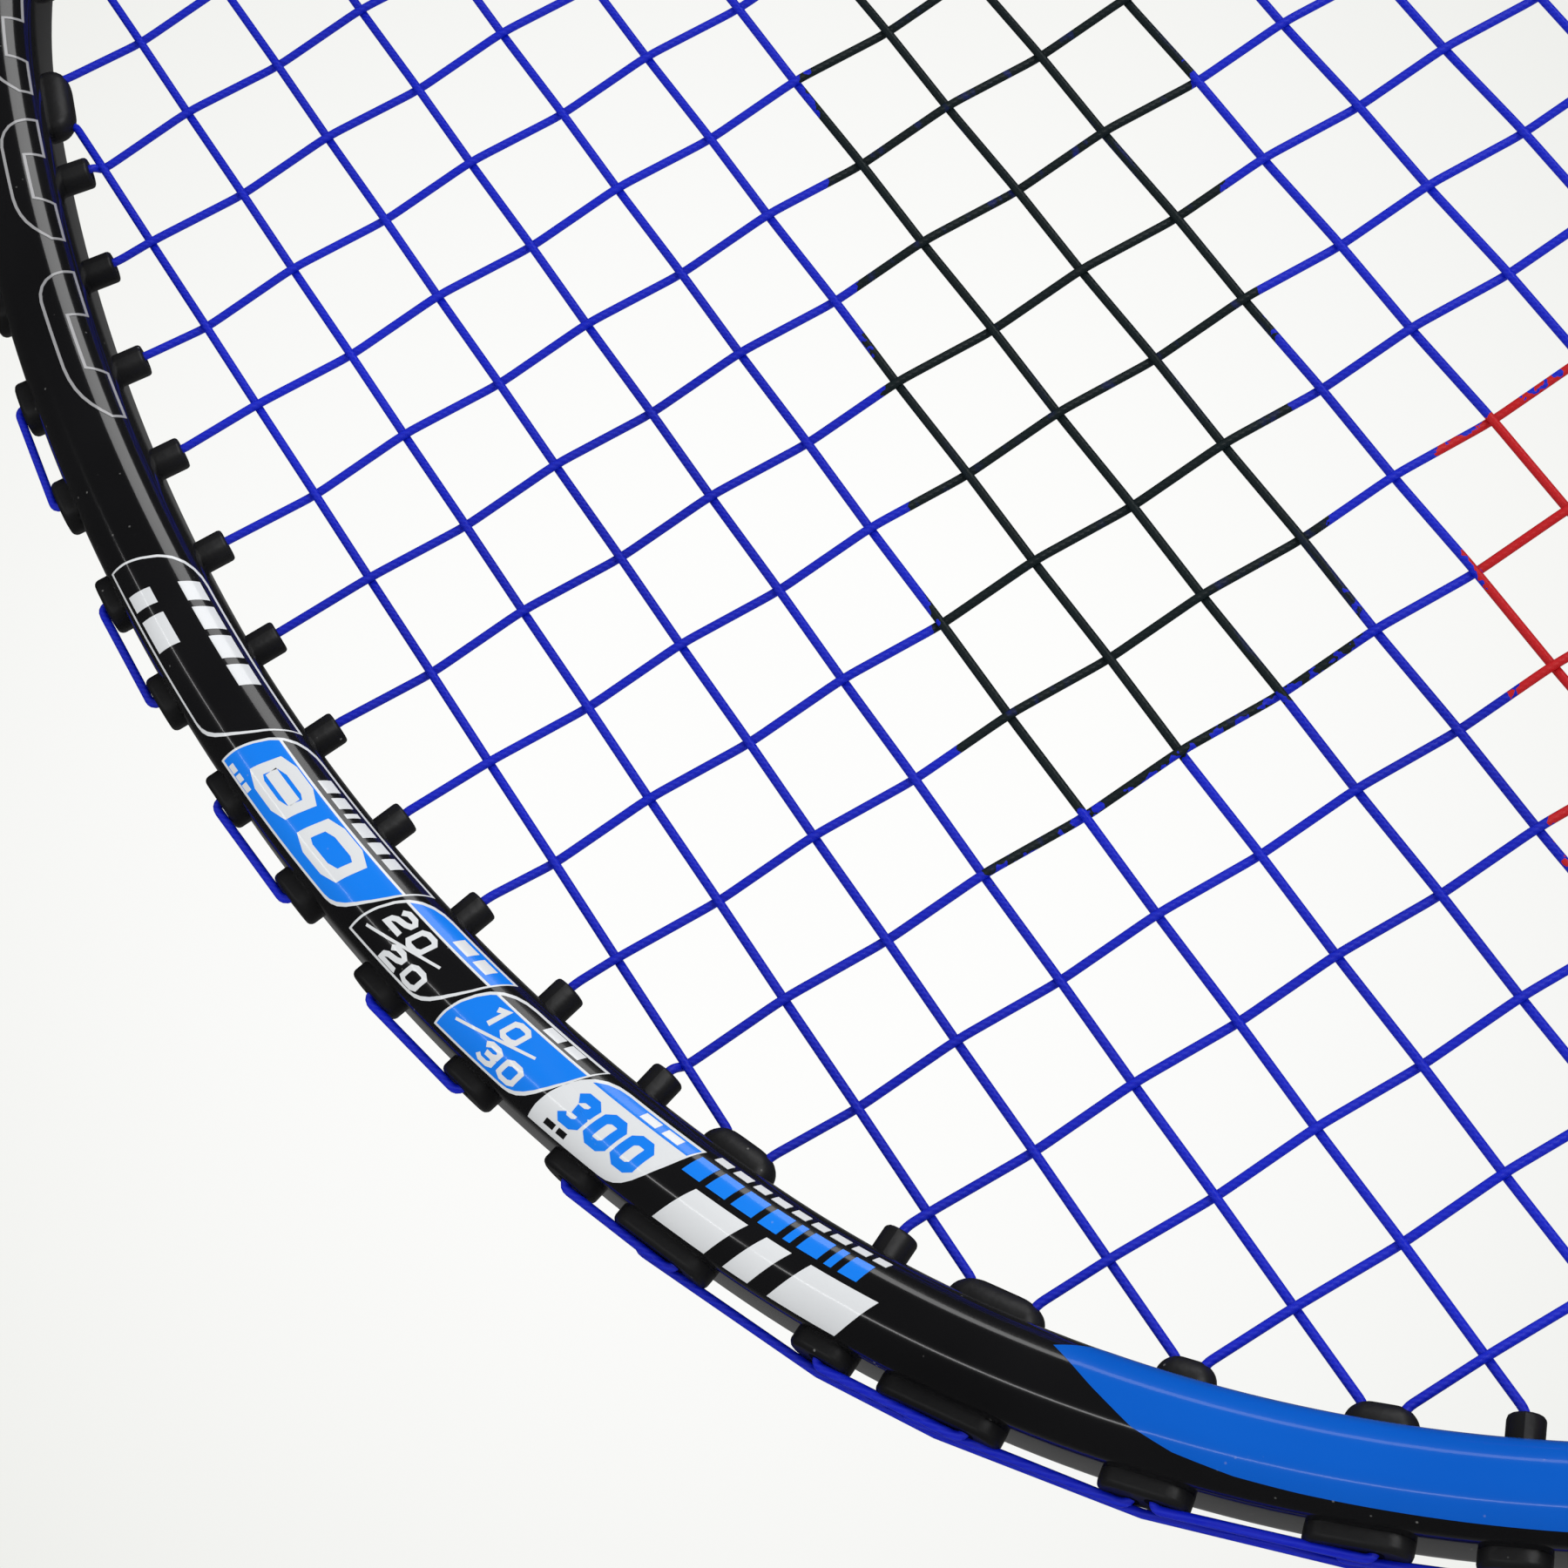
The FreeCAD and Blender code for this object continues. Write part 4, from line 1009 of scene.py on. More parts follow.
def build_cone(handle, material):
    """The cone, with a rounded lip and the mouth that the shaft goes into."""
    top = handle.cone_top
    heights = [handle.top + (top - 0.5 * MM - handle.top) * n / 32 for n in range(33)]
    profile = [(cone_radius(handle, z), z) for z in heights]
    tip = cone_radius(handle, top)
    profile += [(tip - 0.12 * MM, top - 0.15 * MM), (tip - 0.4 * MM, top)]
    profile += [(3.62 * MM, top), (3.55 * MM, top - 3 * MM)]
    return turned_piece("cone_cap_shell", profile, 72, material, "cone_cap")


def grip_profile(handle):
    """How far the grip stands off the wood's flats, as (height, offset) pairs."""
    end = cone_radius(handle, WRAP_TOP) + 0.6 * MM - handle.depth / 2
    straight = [(34 * MM, handle.wrap), (167 * MM, handle.wrap)]
    return [(WRAP_BOTTOM, 3.5 * MM), (18 * MM, 2.3 * MM)] + straight + [(WRAP_TOP, end)]


def grip_row(handle, z):
    """One ring of the grip: each turn swells from its seam and falls off to the next."""
    outline = octagon_radius(handle, between(grip_profile(handle), z))
    row = []
    for n in range(GRIP_POINTS):
        t = math.tau * n / GRIP_POINTS
        phase = (z / handle.wrap_pitch + t / math.tau) % 1
        ridge = 1 - phase if phase > SEAM_SHARE else phase / SEAM_SHARE
        radius = outline(t) - (0.50 - 0.48 * ridge ** 2) * MM
        row.append((radius * math.cos(t), radius * math.sin(t), z))
    return row


def unwrap_grip(bm, handle):
    """UVs in metres: U goes round the grip, and V rises by one turn's height for every turn."""
    layer = bm.loops.layers.uv.new("grip")
    for face in bm.faces:
        middle = face.calc_center_median()
        about = math.atan2(middle.y, middle.x)
        for loop in face.loops:
            co = loop.vert.co
            turn = math.atan2(co.y, co.x)
            turn += math.tau * round((about - turn) / math.tau)
            turns = turn / math.tau
            loop[layer].uv = (turns * GRIP_GIRTH, co.z + handle.wrap_pitch * turns)


def scaled_row(row, share):
    """A ring of points drawn in towards the Z axis."""
    return [(x * share, y * share, z) for x, y, z in row]


def build_grip(handle, material):
    rows = [grip_row(handle, WRAP_BOTTOM + WRAP_STEP * n) for n in range(WRAP_ROWS)]
    bm = bmesh.new()
    skin_rows(bm, [scaled_row(rows[0], 0.93)] + rows + [scaled_row(rows[-1], 0.9)])
    unwrap_grip(bm, handle)
    return finish_mesh("grip_winding", bm, material, nodes=["grip_wrap"])


def build_tape(handle, material):
    """The tape over the grip's upper end, from the grip up on to the cone."""
    low, high = 164 * MM, 187 * MM
    onto_grip = grip_profile(handle)[-1][1] + TAPE
    onto_cone = cone_radius(handle, high) + TAPE - handle.depth / 2
    profile = [(low, handle.wrap + TAPE), (167 * MM, handle.wrap + TAPE), (WRAP_TOP, onto_grip), (high, onto_cone)]
    heights = [(164 + n / 2) * MM for n in range(47)]
    rows = [around_z(octagon_radius(handle, between(profile, z)), z) for z in heights]
    bm = bmesh.new()
    skin_rows(bm, [scaled_row(rows[0], 0.975)] + rows + [scaled_row(rows[-1], 0.975)], capped=False)
    return finish_mesh("collar_tape_band", bm, material, nodes=["grip_collar_tape"])


def build_cap(handle, material):
    """The butt cap: a round recess for the badge, a rolled rim, and the sleeve under the grip."""
    hole = 7.1 * MM
    rim = [
        (0.0, 2.6), (0.08, 3.0), (0.3, 3.35), (0.65, 3.55), (1.0, 3.6),
        (2.9, 3.6), (3.25, 3.5), (3.4, 3.2), (3.42, 2.2), (6.0, 1.6),
    ]
    recess = [(hole, 0.9 * MM), (hole, 0.12 * MM), (hole + 0.12 * MM, 0)]
    rows = [around_z(lambda t, radius=radius: radius, z) for radius, z in recess]
    rows += [around_z(octagon_radius(handle, offset * MM), z * MM) for z, offset in rim]
    bm = bmesh.new()
    skin_rows(bm, rows)
    return finish_mesh("butt_cap_shell", bm, material, nodes=["butt_cap"])


def build_badge(disc_paint, chevron_paint):
    """The plain disc in the butt, with two raised chevrons."""
    profile = [(7.0, 0.8), (7.0, 0.25), (6.9, 0.12), (6.72, 0.08), (5.9, 0.08), (5.75, 0.2), (5.3, 0.2)]
    profile = [(radius * MM, z * MM) for radius, z in profile]
    disc = turned_piece("badge_disc", profile, 72, disc_paint, "butt_badge")
    bm = bmesh.new()
    for offset in (-1.6, 0.6):
        chevron = [(-3.2, offset - 0.8), (0, offset + 1.8), (3.2, offset - 0.8)]
        ribbon(bm, [(x * MM, y * MM) for x, y in chevron], 1.1 * MM)
    for vert in bm.verts:
        vert.co.z = 0.22 * MM
    raise_faces(bm, 0.04 * MM)
    return [disc, finish_mesh("badge_chevrons", bm, chevron_paint, smooth=False)]


def build_handle(handle, paints):
    """Cone, wound grip, collar tape, butt cap and its badge."""
    pieces = [build_cone(handle, paints["cone"]), build_grip(handle, paints["grip"])]
    pieces += [build_tape(handle, paints["tape"]), build_cap(handle, paints["cap"])]
    return pieces + build_badge(paints["badge"], paints["azure"])


# ------------------------------------------------------------------ materials

DUST_COLOUR = (0.55, 0.55, 0.53)
# Stencilled bands: left and right at the reference height, lowest and highest part
BLACK_BAND = (-0.0610, -0.0300, 0.507, 0.600)
RED_BAND = (-0.0205, 0.0105, 0.445, 0.5175)
BAND_HEIGHT, BAND_LEAN, BAND_RAGGED = 0.507, 0.36, 0.0011
# The grip's pressed holes: spacing round the grip and along its turns, and the near-black of the painted shade in
# the holes and in the seams between turns
HOLE_SPACING = (0.0041, 0.0038)
HOLE_AND_SEAM_SHADE_COLOUR = (0.002, 0.002, 0.002)


def set_inputs(tree, node, inputs):
    """Fills a node's inputs with values or links."""
    for name, value in inputs.items():
        if isinstance(value, bpy.types.NodeSocket):
            tree.links.new(value, node.inputs[name])
        else:
            node.inputs[name].default_value = value


def add(tree, kind, inputs=None, **settings):
    """Adds a node, sets it up and fills its inputs."""
    node = tree.nodes.new(kind)
    for name, value in settings.items():
        setattr(node, name, value)
    set_inputs(tree, node, inputs or {})
    return node


def math_node(tree, operation, *values):
    return add(tree, "ShaderNodeMath", dict(enumerate(values)), operation=operation).outputs[0]


def product(tree, first, *others):
    for other in others:
        first = math_node(tree, "MULTIPLY", first, other)
    return first


def vector_node(tree, operation, *values):
    return add(tree, "ShaderNodeVectorMath", dict(enumerate(values)), operation=operation).outputs


def blend_colours(tree, mask, first, second):
    """Mixes two colours; a plain shade is given as three values."""
    first, second = [(*c, 1) if isinstance(c, tuple) else c for c in (first, second)]
    return add(tree, "ShaderNodeMix", {0: mask, 6: first, 7: second}, data_type="RGBA").outputs[2]


def spread(tree, value, low, high, to_low=0.0, to_high=1.0):
    inputs = {"Value": value, "From Min": low, "From Max": high, "To Min": to_low, "To Max": to_high}
    return add(tree, "ShaderNodeMapRange", inputs).outputs[0]


def object_place(tree):
    return add(tree, "ShaderNodeTexCoord").outputs["Object"]


def noise(tree, place, scale, detail, distortion=0.0):
    inputs = {"Vector": place, "Scale": scale, "Detail": detail, "Distortion": distortion}
    return add(tree, "ShaderNodeTexNoise", inputs).outputs[0]


def bump(tree, height, strength, distance):
    return add(tree, "ShaderNodeBump", {"Strength": strength, "Distance": distance, "Height": height}).outputs[0]


def effect(name, inputs, output):
    """An empty node group with float inputs and one output; returns the tree, its inputs and its output node."""
    tree = bpy.data.node_groups.new(name, "ShaderNodeTree")
    for label, default in inputs.items():
        socket = tree.interface.new_socket(label, in_out="INPUT", socket_type="NodeSocketFloat")
        socket.default_value = default
    tree.interface.new_socket(output[0], in_out="OUTPUT", socket_type=output[1])
    return tree, tree.nodes.new("NodeGroupInput").outputs, tree.nodes.new("NodeGroupOutput")


def make_effects():
    """Shared surface effects: lacquer waviness, handling marks, dust and slow colour drift."""
    mask = ("Mask", "NodeSocketFloat")
    tree, given, out = effect("lacquer_waves", {"Scale": 300.0, "Height": 0.1}, ("Normal", "NodeSocketVector"))
    waves = noise(tree, object_place(tree), given["Scale"], 2.0)
    tree.links.new(bump(tree, waves, given["Height"], 0.0002), out.inputs[0])

    tree, given, out = effect("handling_marks", {"Amount": 0.3}, mask)
    place = object_place(tree)
    stretch = {"Vector": place, "Scale": (900.0, 900.0, 90.0), "Rotation": (0.4, 0.9, 0.2)}
    streaks = noise(tree, add(tree, "ShaderNodeMapping", stretch).outputs[0], 1.0, 3.0)
    fine = spread(tree, streaks, 0.58, 0.75)
    broad = spread(tree, noise(tree, place, 60.0, 2.0), 0.4, 0.7)
    tree.links.new(product(tree, fine, broad, given["Amount"]), out.inputs[0])

    tree, given, out = effect("settled_dust", {"Amount": 0.2}, mask)
    specks = add(tree, "ShaderNodeTexVoronoi", {"Vector": object_place(tree), "Scale": 1400.0}).outputs
    chance = add(tree, "ShaderNodeSeparateColor", {0: specks["Color"]}).outputs[0]
    dots = spread(tree, specks["Distance"], 0.16, 0.06)
    rare = spread(tree, chance, 0.93, 0.95)
    tree.links.new(product(tree, dots, rare, given["Amount"]), out.inputs[0])

    tree, given, out = effect("slow_drift", {"Scale": 40.0}, mask)
    broad = noise(tree, object_place(tree), given["Scale"], 3.0)
    tree.links.new(spread(tree, broad, 0.35, 0.65), out.inputs[0])


def use_effect(tree, name, **inputs):
    group = tree.nodes.new("ShaderNodeGroup")
    group.node_tree = bpy.data.node_groups[name]
    set_inputs(tree, group, inputs)
    return group.outputs[0]


def start_material(name):
    material = bpy.data.materials.new(name)
    material.use_nodes = True
    tree = material.node_tree
    return material, tree, tree.nodes["Principled BSDF"]


def finish_paint(
    name, dark, light, roughness=0.2, coat=0.0, waves=0.05, wave_scale=300.0, dust=0.15, marks=0.2, **more,
):
    """A finish whose colour drifts between two shades, with dust, marks and a slightly wavy surface."""
    material, tree, shader = start_material(name)
    dusty = use_effect(tree, "settled_dust", Amount=dust)
    worn = use_effect(tree, "handling_marks", Amount=marks)
    body = blend_colours(tree, use_effect(tree, "slow_drift", Scale=40.0), dark, light)
    rough = math_node(tree, "MULTIPLY_ADD", worn, 0.35, roughness)
    set_inputs(tree, shader, {
        "Base Color": blend_colours(tree, dusty, body, DUST_COLOUR),
        "Roughness": math_node(tree, "ADD", rough, product(tree, dusty, 0.4)),
        "Normal": use_effect(tree, "lacquer_waves", Scale=wave_scale, Height=waves),
        "Coat Weight": coat, "Coat Roughness": 0.06, **more,
    })
    return material


def slanted_band(tree, x, z, left, right, low, high):
    """Mask of a slanting band in the string bed: left and right are its X at the reference height."""
    lean = product(tree, math_node(tree, "SUBTRACT", z, BAND_HEIGHT), BAND_LEAN)
    across = math_node(tree, "SUBTRACT", x, lean)
    limits = [("GREATER_THAN", across, left), ("LESS_THAN", across, right)]
    limits += [("GREATER_THAN", z, low), ("LESS_THAN", z, high)]
    return product(tree, *(math_node(tree, *limit) for limit in limits))


def string_finish():
    """Deep blue multifilament string with two slanting stencilled bands, black and red."""
    material, tree, shader = start_material("string_nylon_blue")
    place = object_place(tree)
    ragged = noise(tree, place, 900.0, 2.0)
    shift = spread(tree, ragged, 0.3, 0.7, -BAND_RAGGED, BAND_RAGGED)
    axes = add(tree, "ShaderNodeSeparateXYZ", {0: place}).outputs
    x, z = (math_node(tree, "ADD", axes[axis], shift) for axis in "XZ")
    twisted = add(tree, "ShaderNodeMapping", {"Vector": place, "Rotation": (0.6, 0.5, 0.7)}).outputs[0]
    waves = {"Vector": twisted, "Scale": 900.0, "Distortion": 1.5, "Detail": 1.0}
    strands = add(tree, "ShaderNodeTexWave", waves).outputs["Fac"]
    drift = use_effect(tree, "slow_drift", Scale=25.0)
    body = blend_colours(tree, drift, (0.001, 0.007, 0.40), (0.003, 0.013, 0.56))
    body = blend_colours(tree, spread(tree, strands, 0.2, 0.9, 0.0, 0.22), body, (0.02, 0.05, 0.70))
    worn = product(tree, use_effect(tree, "handling_marks", Amount=0.8), 0.5)
    black = product(tree, slanted_band(tree, x, z, *BLACK_BAND), math_node(tree, "SUBTRACT", 1.0, worn))
    body = blend_colours(tree, black, body, (0.009, 0.016, 0.018))
    body = blend_colours(tree, slanted_band(tree, x, z, *RED_BAND), body, (0.50, 0.008, 0.012))
    set_inputs(tree, shader, {
        "Base Color": body, "Roughness": spread(tree, ragged, 0.3, 0.7, 0.30, 0.45),
        "Normal": bump(tree, strands, 0.35, 0.00004), "Specular IOR Level": 0.25,
    })
    return material


def grip_finish(wrap_pitch):
    """Tacky grip with rows of small pressed holes along each turn, painted shade in the holes and in the seam
    between turns, and a painted highlight along the crest beside each seam.
    """
    material, tree, shader = start_material("grip_pu_black")
    uv = add(tree, "ShaderNodeUVMap", uv_map="grip").outputs[0]
    spaced = vector_node(tree, "MULTIPLY", uv, (1 / HOLE_SPACING[0], 1 / HOLE_SPACING[1], 1.0))[0]
    flat = vector_node(tree, "MULTIPLY", vector_node(tree, "FRACTION", spaced)[0], (1.0, 1.0, 0.0))[0]
    away = vector_node(tree, "DISTANCE", flat, (0.5, 0.5, 0.0))["Value"]
    hole = spread(tree, away, 0.17, 0.11)
    grain = noise(tree, object_place(tree), 1500.0, 3.0)
    drift = use_effect(tree, "slow_drift", Scale=30.0)
    body = blend_colours(tree, drift, (0.012, 0.012, 0.013), (0.024, 0.024, 0.026))
    turns = math_node(tree, "DIVIDE", add(tree, "ShaderNodeSeparateXYZ", {0: uv}).outputs[1], wrap_pitch)
    from_seam = math_node(tree, "PINGPONG", turns, 0.5)
    # Partly a painted highlight and partly a worn edge: a lighter band along the crest of each turn beside its seam
    body = blend_colours(tree, spread(tree, from_seam, 0.13, 0.05, 0.0, 0.8), body, (0.042, 0.042, 0.045))
    # Painted shade: the pressed holes are darkened to near-black
    body = blend_colours(tree, hole, body, HOLE_AND_SEAM_SHADE_COLOUR)
    # Painted shade: a near-black line in the seam's groove between turns
    body = blend_colours(tree, spread(tree, from_seam, 0.04, 0.012, 0.0, 0.95), body, HOLE_AND_SEAM_SHADE_COLOUR)
    height = math_node(tree, "SUBTRACT", product(tree, grain, 0.25), hole)
    set_inputs(tree, shader, {
        "Base Color": body, "Roughness": spread(tree, grain, 0.3, 0.7, 0.5, 0.72),
        "Normal": bump(tree, height, 0.8, 0.0003),
    })
    return material


def wood_finish():
    """Pale handle wood with grain along the handle."""
    material, tree, shader = start_material("handle_wood_pale")
    drawn = add(tree, "ShaderNodeMapping", {"Vector": object_place(tree), "Scale": (1.0, 1.0, 0.06)}).outputs[0]
    grain = noise(tree, drawn, 500.0, 5.0, 0.6)
    set_inputs(tree, shader, {
        "Base Color": blend_colours(tree, spread(tree, grain, 0.35, 0.65), (0.42, 0.25, 0.12), (0.62, 0.43, 0.24)),
        "Roughness": spread(tree, grain, 0.3, 0.7, 0.5, 0.65), "Normal": bump(tree, grain, 0.3, 0.0002),
    })
    return material


# Finishes by short name: material name, darker and lighter shade, and the values that differ from
# what finish_paint does by itself
FINISHES = {
    "lacquer": ("frame_lacquer_black", (0.0045, 0.0045, 0.005), (0.008, 0.008, 0.009),
                dict(roughness=0.16, coat=1.0, waves=0.03, wave_scale=220.0, dust=0.25)),
    "black": ("print_black", (0.005, 0.005, 0.006), (0.009, 0.009, 0.010),
              dict(roughness=0.20, coat=1.0, waves=0.03)),
    "blue": ("print_blue", (0.0, 0.205, 0.90), (0.001, 0.235, 0.96),
             dict(roughness=0.22, coat=0.6, waves=0.03)),
    "azure": ("flash_azure", (0.0, 0.098, 0.54), (0.001, 0.118, 0.61),
              {"roughness": 0.20, "coat": 0.6, "waves": 0.03, "Specular IOR Level": 0.2}),
    "white": ("print_white", (0.74, 0.76, 0.78), (0.84, 0.86, 0.88),
              dict(roughness=0.25, coat=1.0, waves=0.03)),
    "grey": ("print_pale_grey", (0.28, 0.28, 0.29), (0.40, 0.40, 0.41),
             dict(roughness=0.30, coat=1.0, waves=0.03)),
    "grommet": ("grommet_nylon_black", (0.008, 0.008, 0.009), (0.015, 0.015, 0.016),
                dict(roughness=0.42, waves=0.25, wave_scale=900.0, dust=0.3, marks=0.5)),
    # Painted shade: the near-black of the discs that stand for the grommets' holes
    "shade": ("grommet_hole_painted_shade", (0.001, 0.001, 0.001), (0.002, 0.002, 0.002),
              dict(roughness=0.8, waves=0.2, wave_scale=900.0, dust=0.0, marks=0.0)),
    "shaft": ("shaft_lacquer_black", (0.004, 0.004, 0.005), (0.008, 0.008, 0.009),
              dict(roughness=0.15, coat=1.0, waves=0.03)),
    "cone": ("cone_plastic_azure", (0.001, 0.11, 0.62), (0.003, 0.14, 0.72),
             dict(roughness=0.32, coat=0.3, waves=0.10, wave_scale=500.0)),
    "cap": ("cap_plastic_black", (0.010, 0.010, 0.011), (0.018, 0.018, 0.019),
            dict(roughness=0.40, waves=0.25, wave_scale=700.0)),
    "badge": ("badge_plastic_silver", (0.42, 0.43, 0.45), (0.55, 0.56, 0.58),
              dict(roughness=0.28, coat=0.5, waves=0.08, wave_scale=600.0, Metallic=0.7)),
    "tape": ("collar_tape_azure", (0.001, 0.12, 0.66), (0.004, 0.15, 0.76),
             dict(roughness=0.45, waves=0.15, wave_scale=500.0)),
    "alloy": ("joint_alloy_grey", (0.42, 0.42, 0.43), (0.55, 0.55, 0.56),
              dict(roughness=0.35, waves=0.2, wave_scale=700.0, Metallic=1.0)),
    "steel": ("staple_steel_bright", (0.50, 0.50, 0.50), (0.62, 0.62, 0.62),
              dict(roughness=0.25, waves=0.1, wave_scale=900.0, Metallic=1.0)),
}


def make_paints():
    """Every finish of the racket by its short name."""
    make_effects()
    made = {}
    for short, (name, dark, light, values) in FINISHES.items():
        made[short] = finish_paint(name, dark, light, **values)
    made["string"] = string_finish()
    made["grip"] = grip_finish(bpy.context.scene.racket_handle.wrap_pitch)
    made["wood"] = wood_finish()
    return made


# ------------------------------------------------------------------ stage

# The main camera's line of sight, fixed in the world: the backdrop is palest there and darker round it
BACKDROP_MIDDLE = (0.0919, 0.8564, 0.508)


def aim(obj, target):
    obj.rotation_mode = "QUATERNION"
    obj.rotation_quaternion = (Vector(target) - obj.location).to_track_quat("-Z", "Y")


def link_light(name, width, height, power):
    light = bpy.data.lights.new(name, "AREA")
    light.shape, light.size, light.size_y = "RECTANGLE", width, height
    light.energy = power
    return add_object(name, light)


def area_light(name, location, target, width, height, power):
    obj = link_light(name, width, height, power)
    obj.location = location
    aim(obj, target)
    return obj


def strip_light(name, start, end, target, width, power):
    """A long narrow light from start to end that faces the target."""
    start, end = Vector(start), Vector(end)
    obj = link_light(name, (end - start).length, width, power)
    along = (end - start).normalized()
    away = (start + end) / 2 - Vector(target)
    away = (away - along * away.dot(along)).normalized()
    matrix = Matrix((along, away.cross(along), away)).transposed().to_4x4()
    matrix.translation = (start + end) / 2
    obj.matrix_world = matrix
    return obj


def build_world():
    """A pale backdrop for the camera alone, weaker light for matt surfaces and a dim room for reflections.

    Reflections see far less than the white that the camera sees: more behind the racket than in front of it.
    """
    world = bpy.data.worlds.new("white_room")
    bpy.context.scene.world = world
    world.use_nodes = True
    tree = world.node_tree
    direction = add(tree, "ShaderNodeTexCoord").outputs["Generated"]
    axes = add(tree, "ShaderNodeSeparateXYZ", {0: direction}).outputs
    path = add(tree, "ShaderNodeLightPath").outputs
    mirrored = product(tree, path["Is Glossy Ray"], spread(tree, axes["Y"], 0.6, 1.0, 0.02, 0.16))
    strength = math_node(tree, "ADD", mirrored, product(tree, path["Is Diffuse Ray"], 0.74))
    for ray in ("Is Camera Ray", "Is Transmission Ray"):
        strength = math_node(tree, "ADD", strength, path[ray])
    middle = vector_node(tree, "DOT_PRODUCT", direction, BACKDROP_MIDDLE)["Value"]
    shade = blend_colours(tree, spread(tree, middle, 0.965, 0.998), (0.845, 0.85, 0.82), (0.985, 0.985, 0.975))
    colour = blend_colours(tree, path["Is Camera Ray"], (1, 1, 1), shade)
    set_inputs(tree, tree.nodes["Background"], {"Color": colour, "Strength": strength})


def build_floor(radius):
    """A pale floor that fades into the white behind it."""
    bm = bmesh.new()
    bmesh.ops.create_circle(bm, cap_ends=True, segments=96, radius=radius)
    mesh = bpy.data.meshes.new("floor")
    bm.to_mesh(mesh)
    bm.free()
    floor = add_object("floor", mesh)
    floor.location = (0, 0, -0.4 * MM)
    material, tree, shader = start_material("floor_white")
    place = object_place(tree)
    away = vector_node(tree, "LENGTH", place)["Value"]
    fade = spread(tree, away, radius * 0.12, radius * 0.55)
    fade = math_node(tree, "MAXIMUM", fade, add(tree, "ShaderNodeLightPath").outputs["Is Glossy Ray"])
    colour = blend_colours(tree, noise(tree, place, 60.0, 3.0), (0.86, 0.86, 0.85), (0.90, 0.90, 0.89))
    glow = {"Emission Color": colour, "Emission Strength": 0.2}
    set_inputs(tree, shader, {"Base Color": colour, "Roughness": 0.6, **glow})
    clear = add(tree, "ShaderNodeBsdfTransparent")
    mix = add(tree, "ShaderNodeMixShader", {0: fade, 1: shader.outputs[0], 2: clear.outputs[0]})
    tree.links.new(mix.outputs[0], tree.nodes["Material Output"].inputs[0])
    mesh.materials.append(material)
    return floor


def build_camera(lens):
    data = bpy.data.cameras.new("camera")
    data.lens, data.sensor_width = lens / MM, 36.0
    data.clip_start, data.clip_end = 0.01, 20.0
    camera = add_object("camera", data)
    right, down = Vector((0.84665, 0.20132, -0.49260)), Vector((-0.52415, 0.47537, -0.70660))
    forward = right.cross(down).normalized()
    matrix = Matrix((right, -down, -forward)).transposed().to_4x4()
    matrix.translation = Vector((-0.097311, -0.260747, 0.367572))
    camera.matrix_world = matrix
    bpy.context.scene.camera = camera
    return camera


# ------------------------------------------------------------------ operators

SIDES = (("front", False), ("back", True))
PAINTS = {}


def paints():
    """The racket's finishes, made the first time that a step asks for them."""
    if not PAINTS:
        PAINTS.update(make_paints())
    return PAINTS


def finished(operator, pieces):
    """Ends a build step, with an error if it made nothing or left a piece empty."""
    empty = [piece.name for piece in pieces if not piece.data.polygons]
    if empty or not pieces:
        raise RuntimeError(f"{operator.bl_label} could not be built: {', '.join(empty) or 'no pieces'}")
    return {"FINISHED"}


class RACKET_OT_hoop(bpy.types.Operator):
    """Build the hoop and its printing"""

    bl_idname = "racket.hoop"
    bl_label = "Hoop"
    bl_options = {"REGISTER", "UNDO"}

    def execute(self, context):
        hoop = context.scene.racket_hoop
        pieces = [build_hoop(hoop, paints()["lacquer"])]
        for side, turned in SIDES:
            pieces += build_prints(hoop, paints(), side, turned)
        for side, turned in SIDES:
            pieces.append(build_flash(hoop, paints()["azure"], side, turned))
        return finished(self, pieces)


class RACKET_OT_strings(bpy.types.Operator):
    """Build the woven strings and their knots"""

    bl_idname = "racket.strings"
    bl_label = "Strings"
    bl_options = {"REGISTER", "UNDO"}

    def execute(self, context):
        scene = context.scene
        settings = scene.racket_hoop, scene.racket_strings, scene.racket_grommets
        return finished(self, build_strings(*settings, paints()["string"]))


class RACKET_OT_grommets(bpy.types.Operator):
    """Build the grommets"""

    bl_idname = "racket.grommets"
    bl_label = "Grommets"
    bl_options = {"REGISTER", "UNDO"}

    def execute(self, context):
        scene = context.scene
        settings = scene.racket_hoop, scene.racket_strings, scene.racket_grommets
        return finished(self, build_grommets(*settings, [paints()["grommet"], paints()["shade"]]))


class RACKET_OT_throat(bpy.types.Operator):
    """Build the throat fairing and the shaft"""

    bl_idname = "racket.throat"
    bl_label = "Throat and shaft"
    bl_options = {"REGISTER", "UNDO"}

    def execute(self, context):
        settings = context.scene.racket_hoop, context.scene.racket_throat
        return finished(self, build_throat(*settings, paints()["lacquer"], paints()["shaft"]))


class RACKET_OT_handle(bpy.types.Operator):
    """Build the cone, grip, tape, cap and badge"""

    bl_idname = "racket.handle"
    bl_label = "Handle"
    bl_options = {"REGISTER", "UNDO"}

    def execute(self, context):
        return finished(self, build_handle(context.scene.racket_handle, paints()))


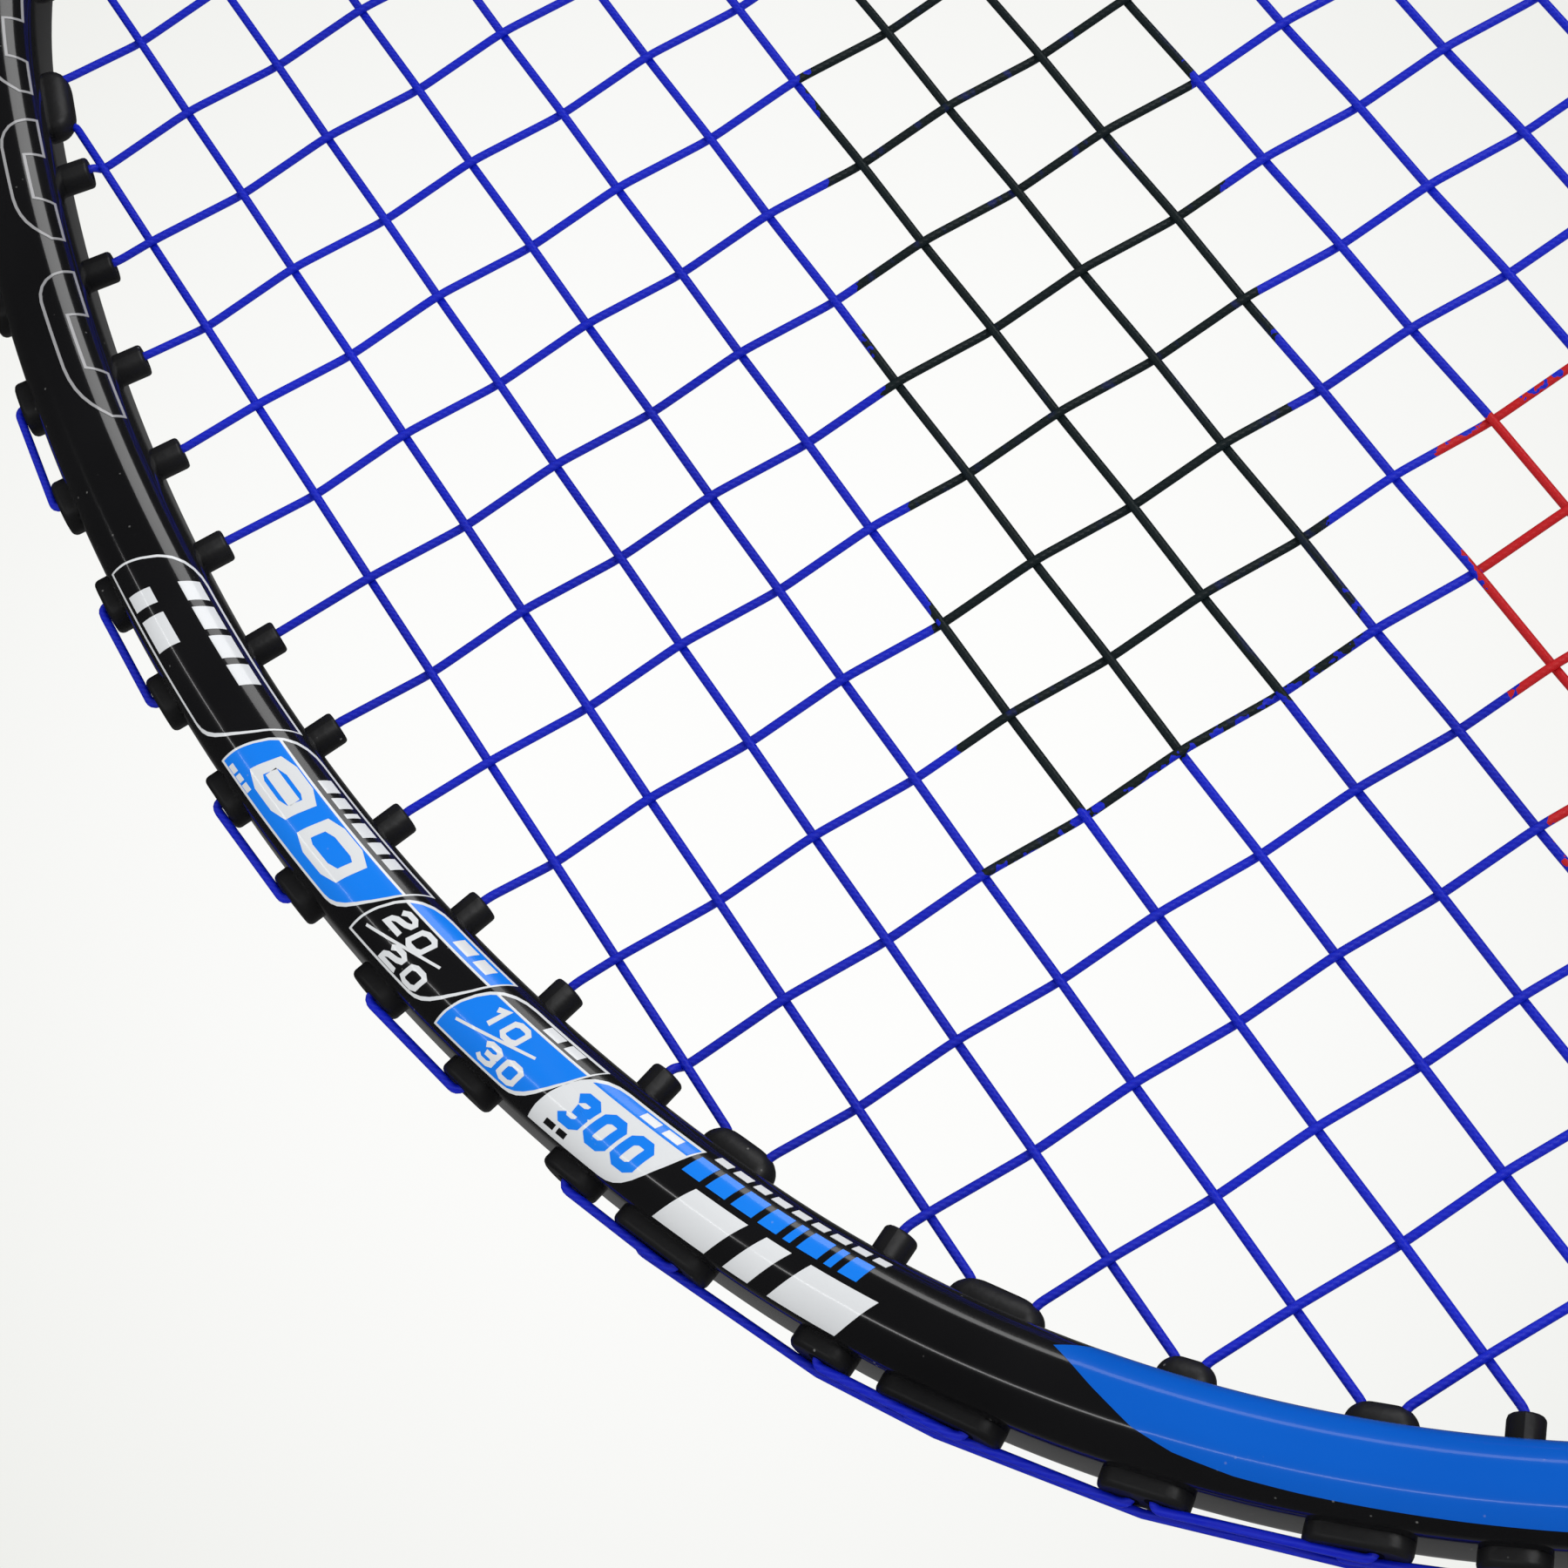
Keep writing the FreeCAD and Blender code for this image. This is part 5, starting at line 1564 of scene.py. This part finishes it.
class RACKET_OT_stage(bpy.types.Operator):
    """Build the floor, the lights and the camera"""

    bl_idname = "racket.stage"
    bl_label = "Stage"
    bl_options = {"REGISTER", "UNDO"}

    def execute(self, context):
        settings = context.scene.racket_stage
        build_world()
        lights = [
            strip_light("streak_upper", (-1.22, -1.2, 1.95), (-0.96, -1.2, 0.79), (-0.1, 0, 0.53), 0.07, 0.9),
            strip_light("streak_lower", (-0.95, -1.2, 0.76), (-0.38, -1.2, 0.05), (-0.08, 0, 0.47), 0.07, 0.7),
            area_light("upper_soft", (0.9, -0.9, 1.2), (-0.02, 0, 0.45), 0.7, 0.7, 3.0),
            area_light("front_soft", (0.9, -1.5, 0.1), (0, 0, 0.4), 0.9, 0.9, 7.0),
        ]
        build_floor(settings.floor_radius)
        build_camera(settings.lens)
        context.scene.view_settings.view_transform = "Standard"
        if context.scene.camera is None:
            raise RuntimeError("Stage could not be built: no camera")
        return {"FINISHED"}


class RACKET_PT_panel(bpy.types.Panel):
    """Sidebar panel with one button for each group of pieces"""

    bl_label = "Badminton racket"
    bl_space_type = "VIEW_3D"
    bl_region_type = "UI"
    bl_category = "Racket"

    def draw(self, context):
        for name in SETTINGS:
            settings = getattr(context.scene, name)
            box = self.layout.box()
            for field in settings.__annotations__:
                box.prop(settings, field)
        for operator in OPERATORS:
            self.layout.operator(operator.bl_idname)


SETTINGS = {
    "racket_hoop": HoopSettings,
    "racket_strings": StringSettings,
    "racket_grommets": GrommetSettings,
    "racket_throat": ThroatSettings,
    "racket_handle": HandleSettings,
    "racket_stage": StageSettings,
}
OPERATORS = [
    RACKET_OT_hoop, RACKET_OT_strings, RACKET_OT_grommets, RACKET_OT_throat, RACKET_OT_handle, RACKET_OT_stage,
]


def register():
    for settings in SETTINGS.values():
        bpy.utils.register_class(settings)
    for name, settings in SETTINGS.items():
        setattr(bpy.types.Scene, name, bpy.props.PointerProperty(type=settings))
    for item in OPERATORS + [RACKET_PT_panel]:
        bpy.utils.register_class(item)


def unregister():
    for item in reversed(OPERATORS + [RACKET_PT_panel]):
        bpy.utils.unregister_class(item)
    for name, settings in reversed(SETTINGS.items()):
        delattr(bpy.types.Scene, name)
        bpy.utils.unregister_class(settings)


def corners(box):
    return [list(corner) for corner in box]


def main():
    register()
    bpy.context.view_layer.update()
    for node, paint in (("t_joint_core", "alloy"), ("handle_core", "wood"), ("butt_staples", "steel")):
        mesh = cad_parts[node].data
        mesh.materials.clear()
        mesh.materials.append(paints()[paint])
    bpy.ops.racket.hoop()
    bpy.ops.racket.strings()
    bpy.ops.racket.grommets()
    bpy.ops.racket.throat()
    bpy.ops.racket.handle()
    bpy.ops.racket.stage()
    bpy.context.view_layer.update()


if __name__ == "__main__":
    main()
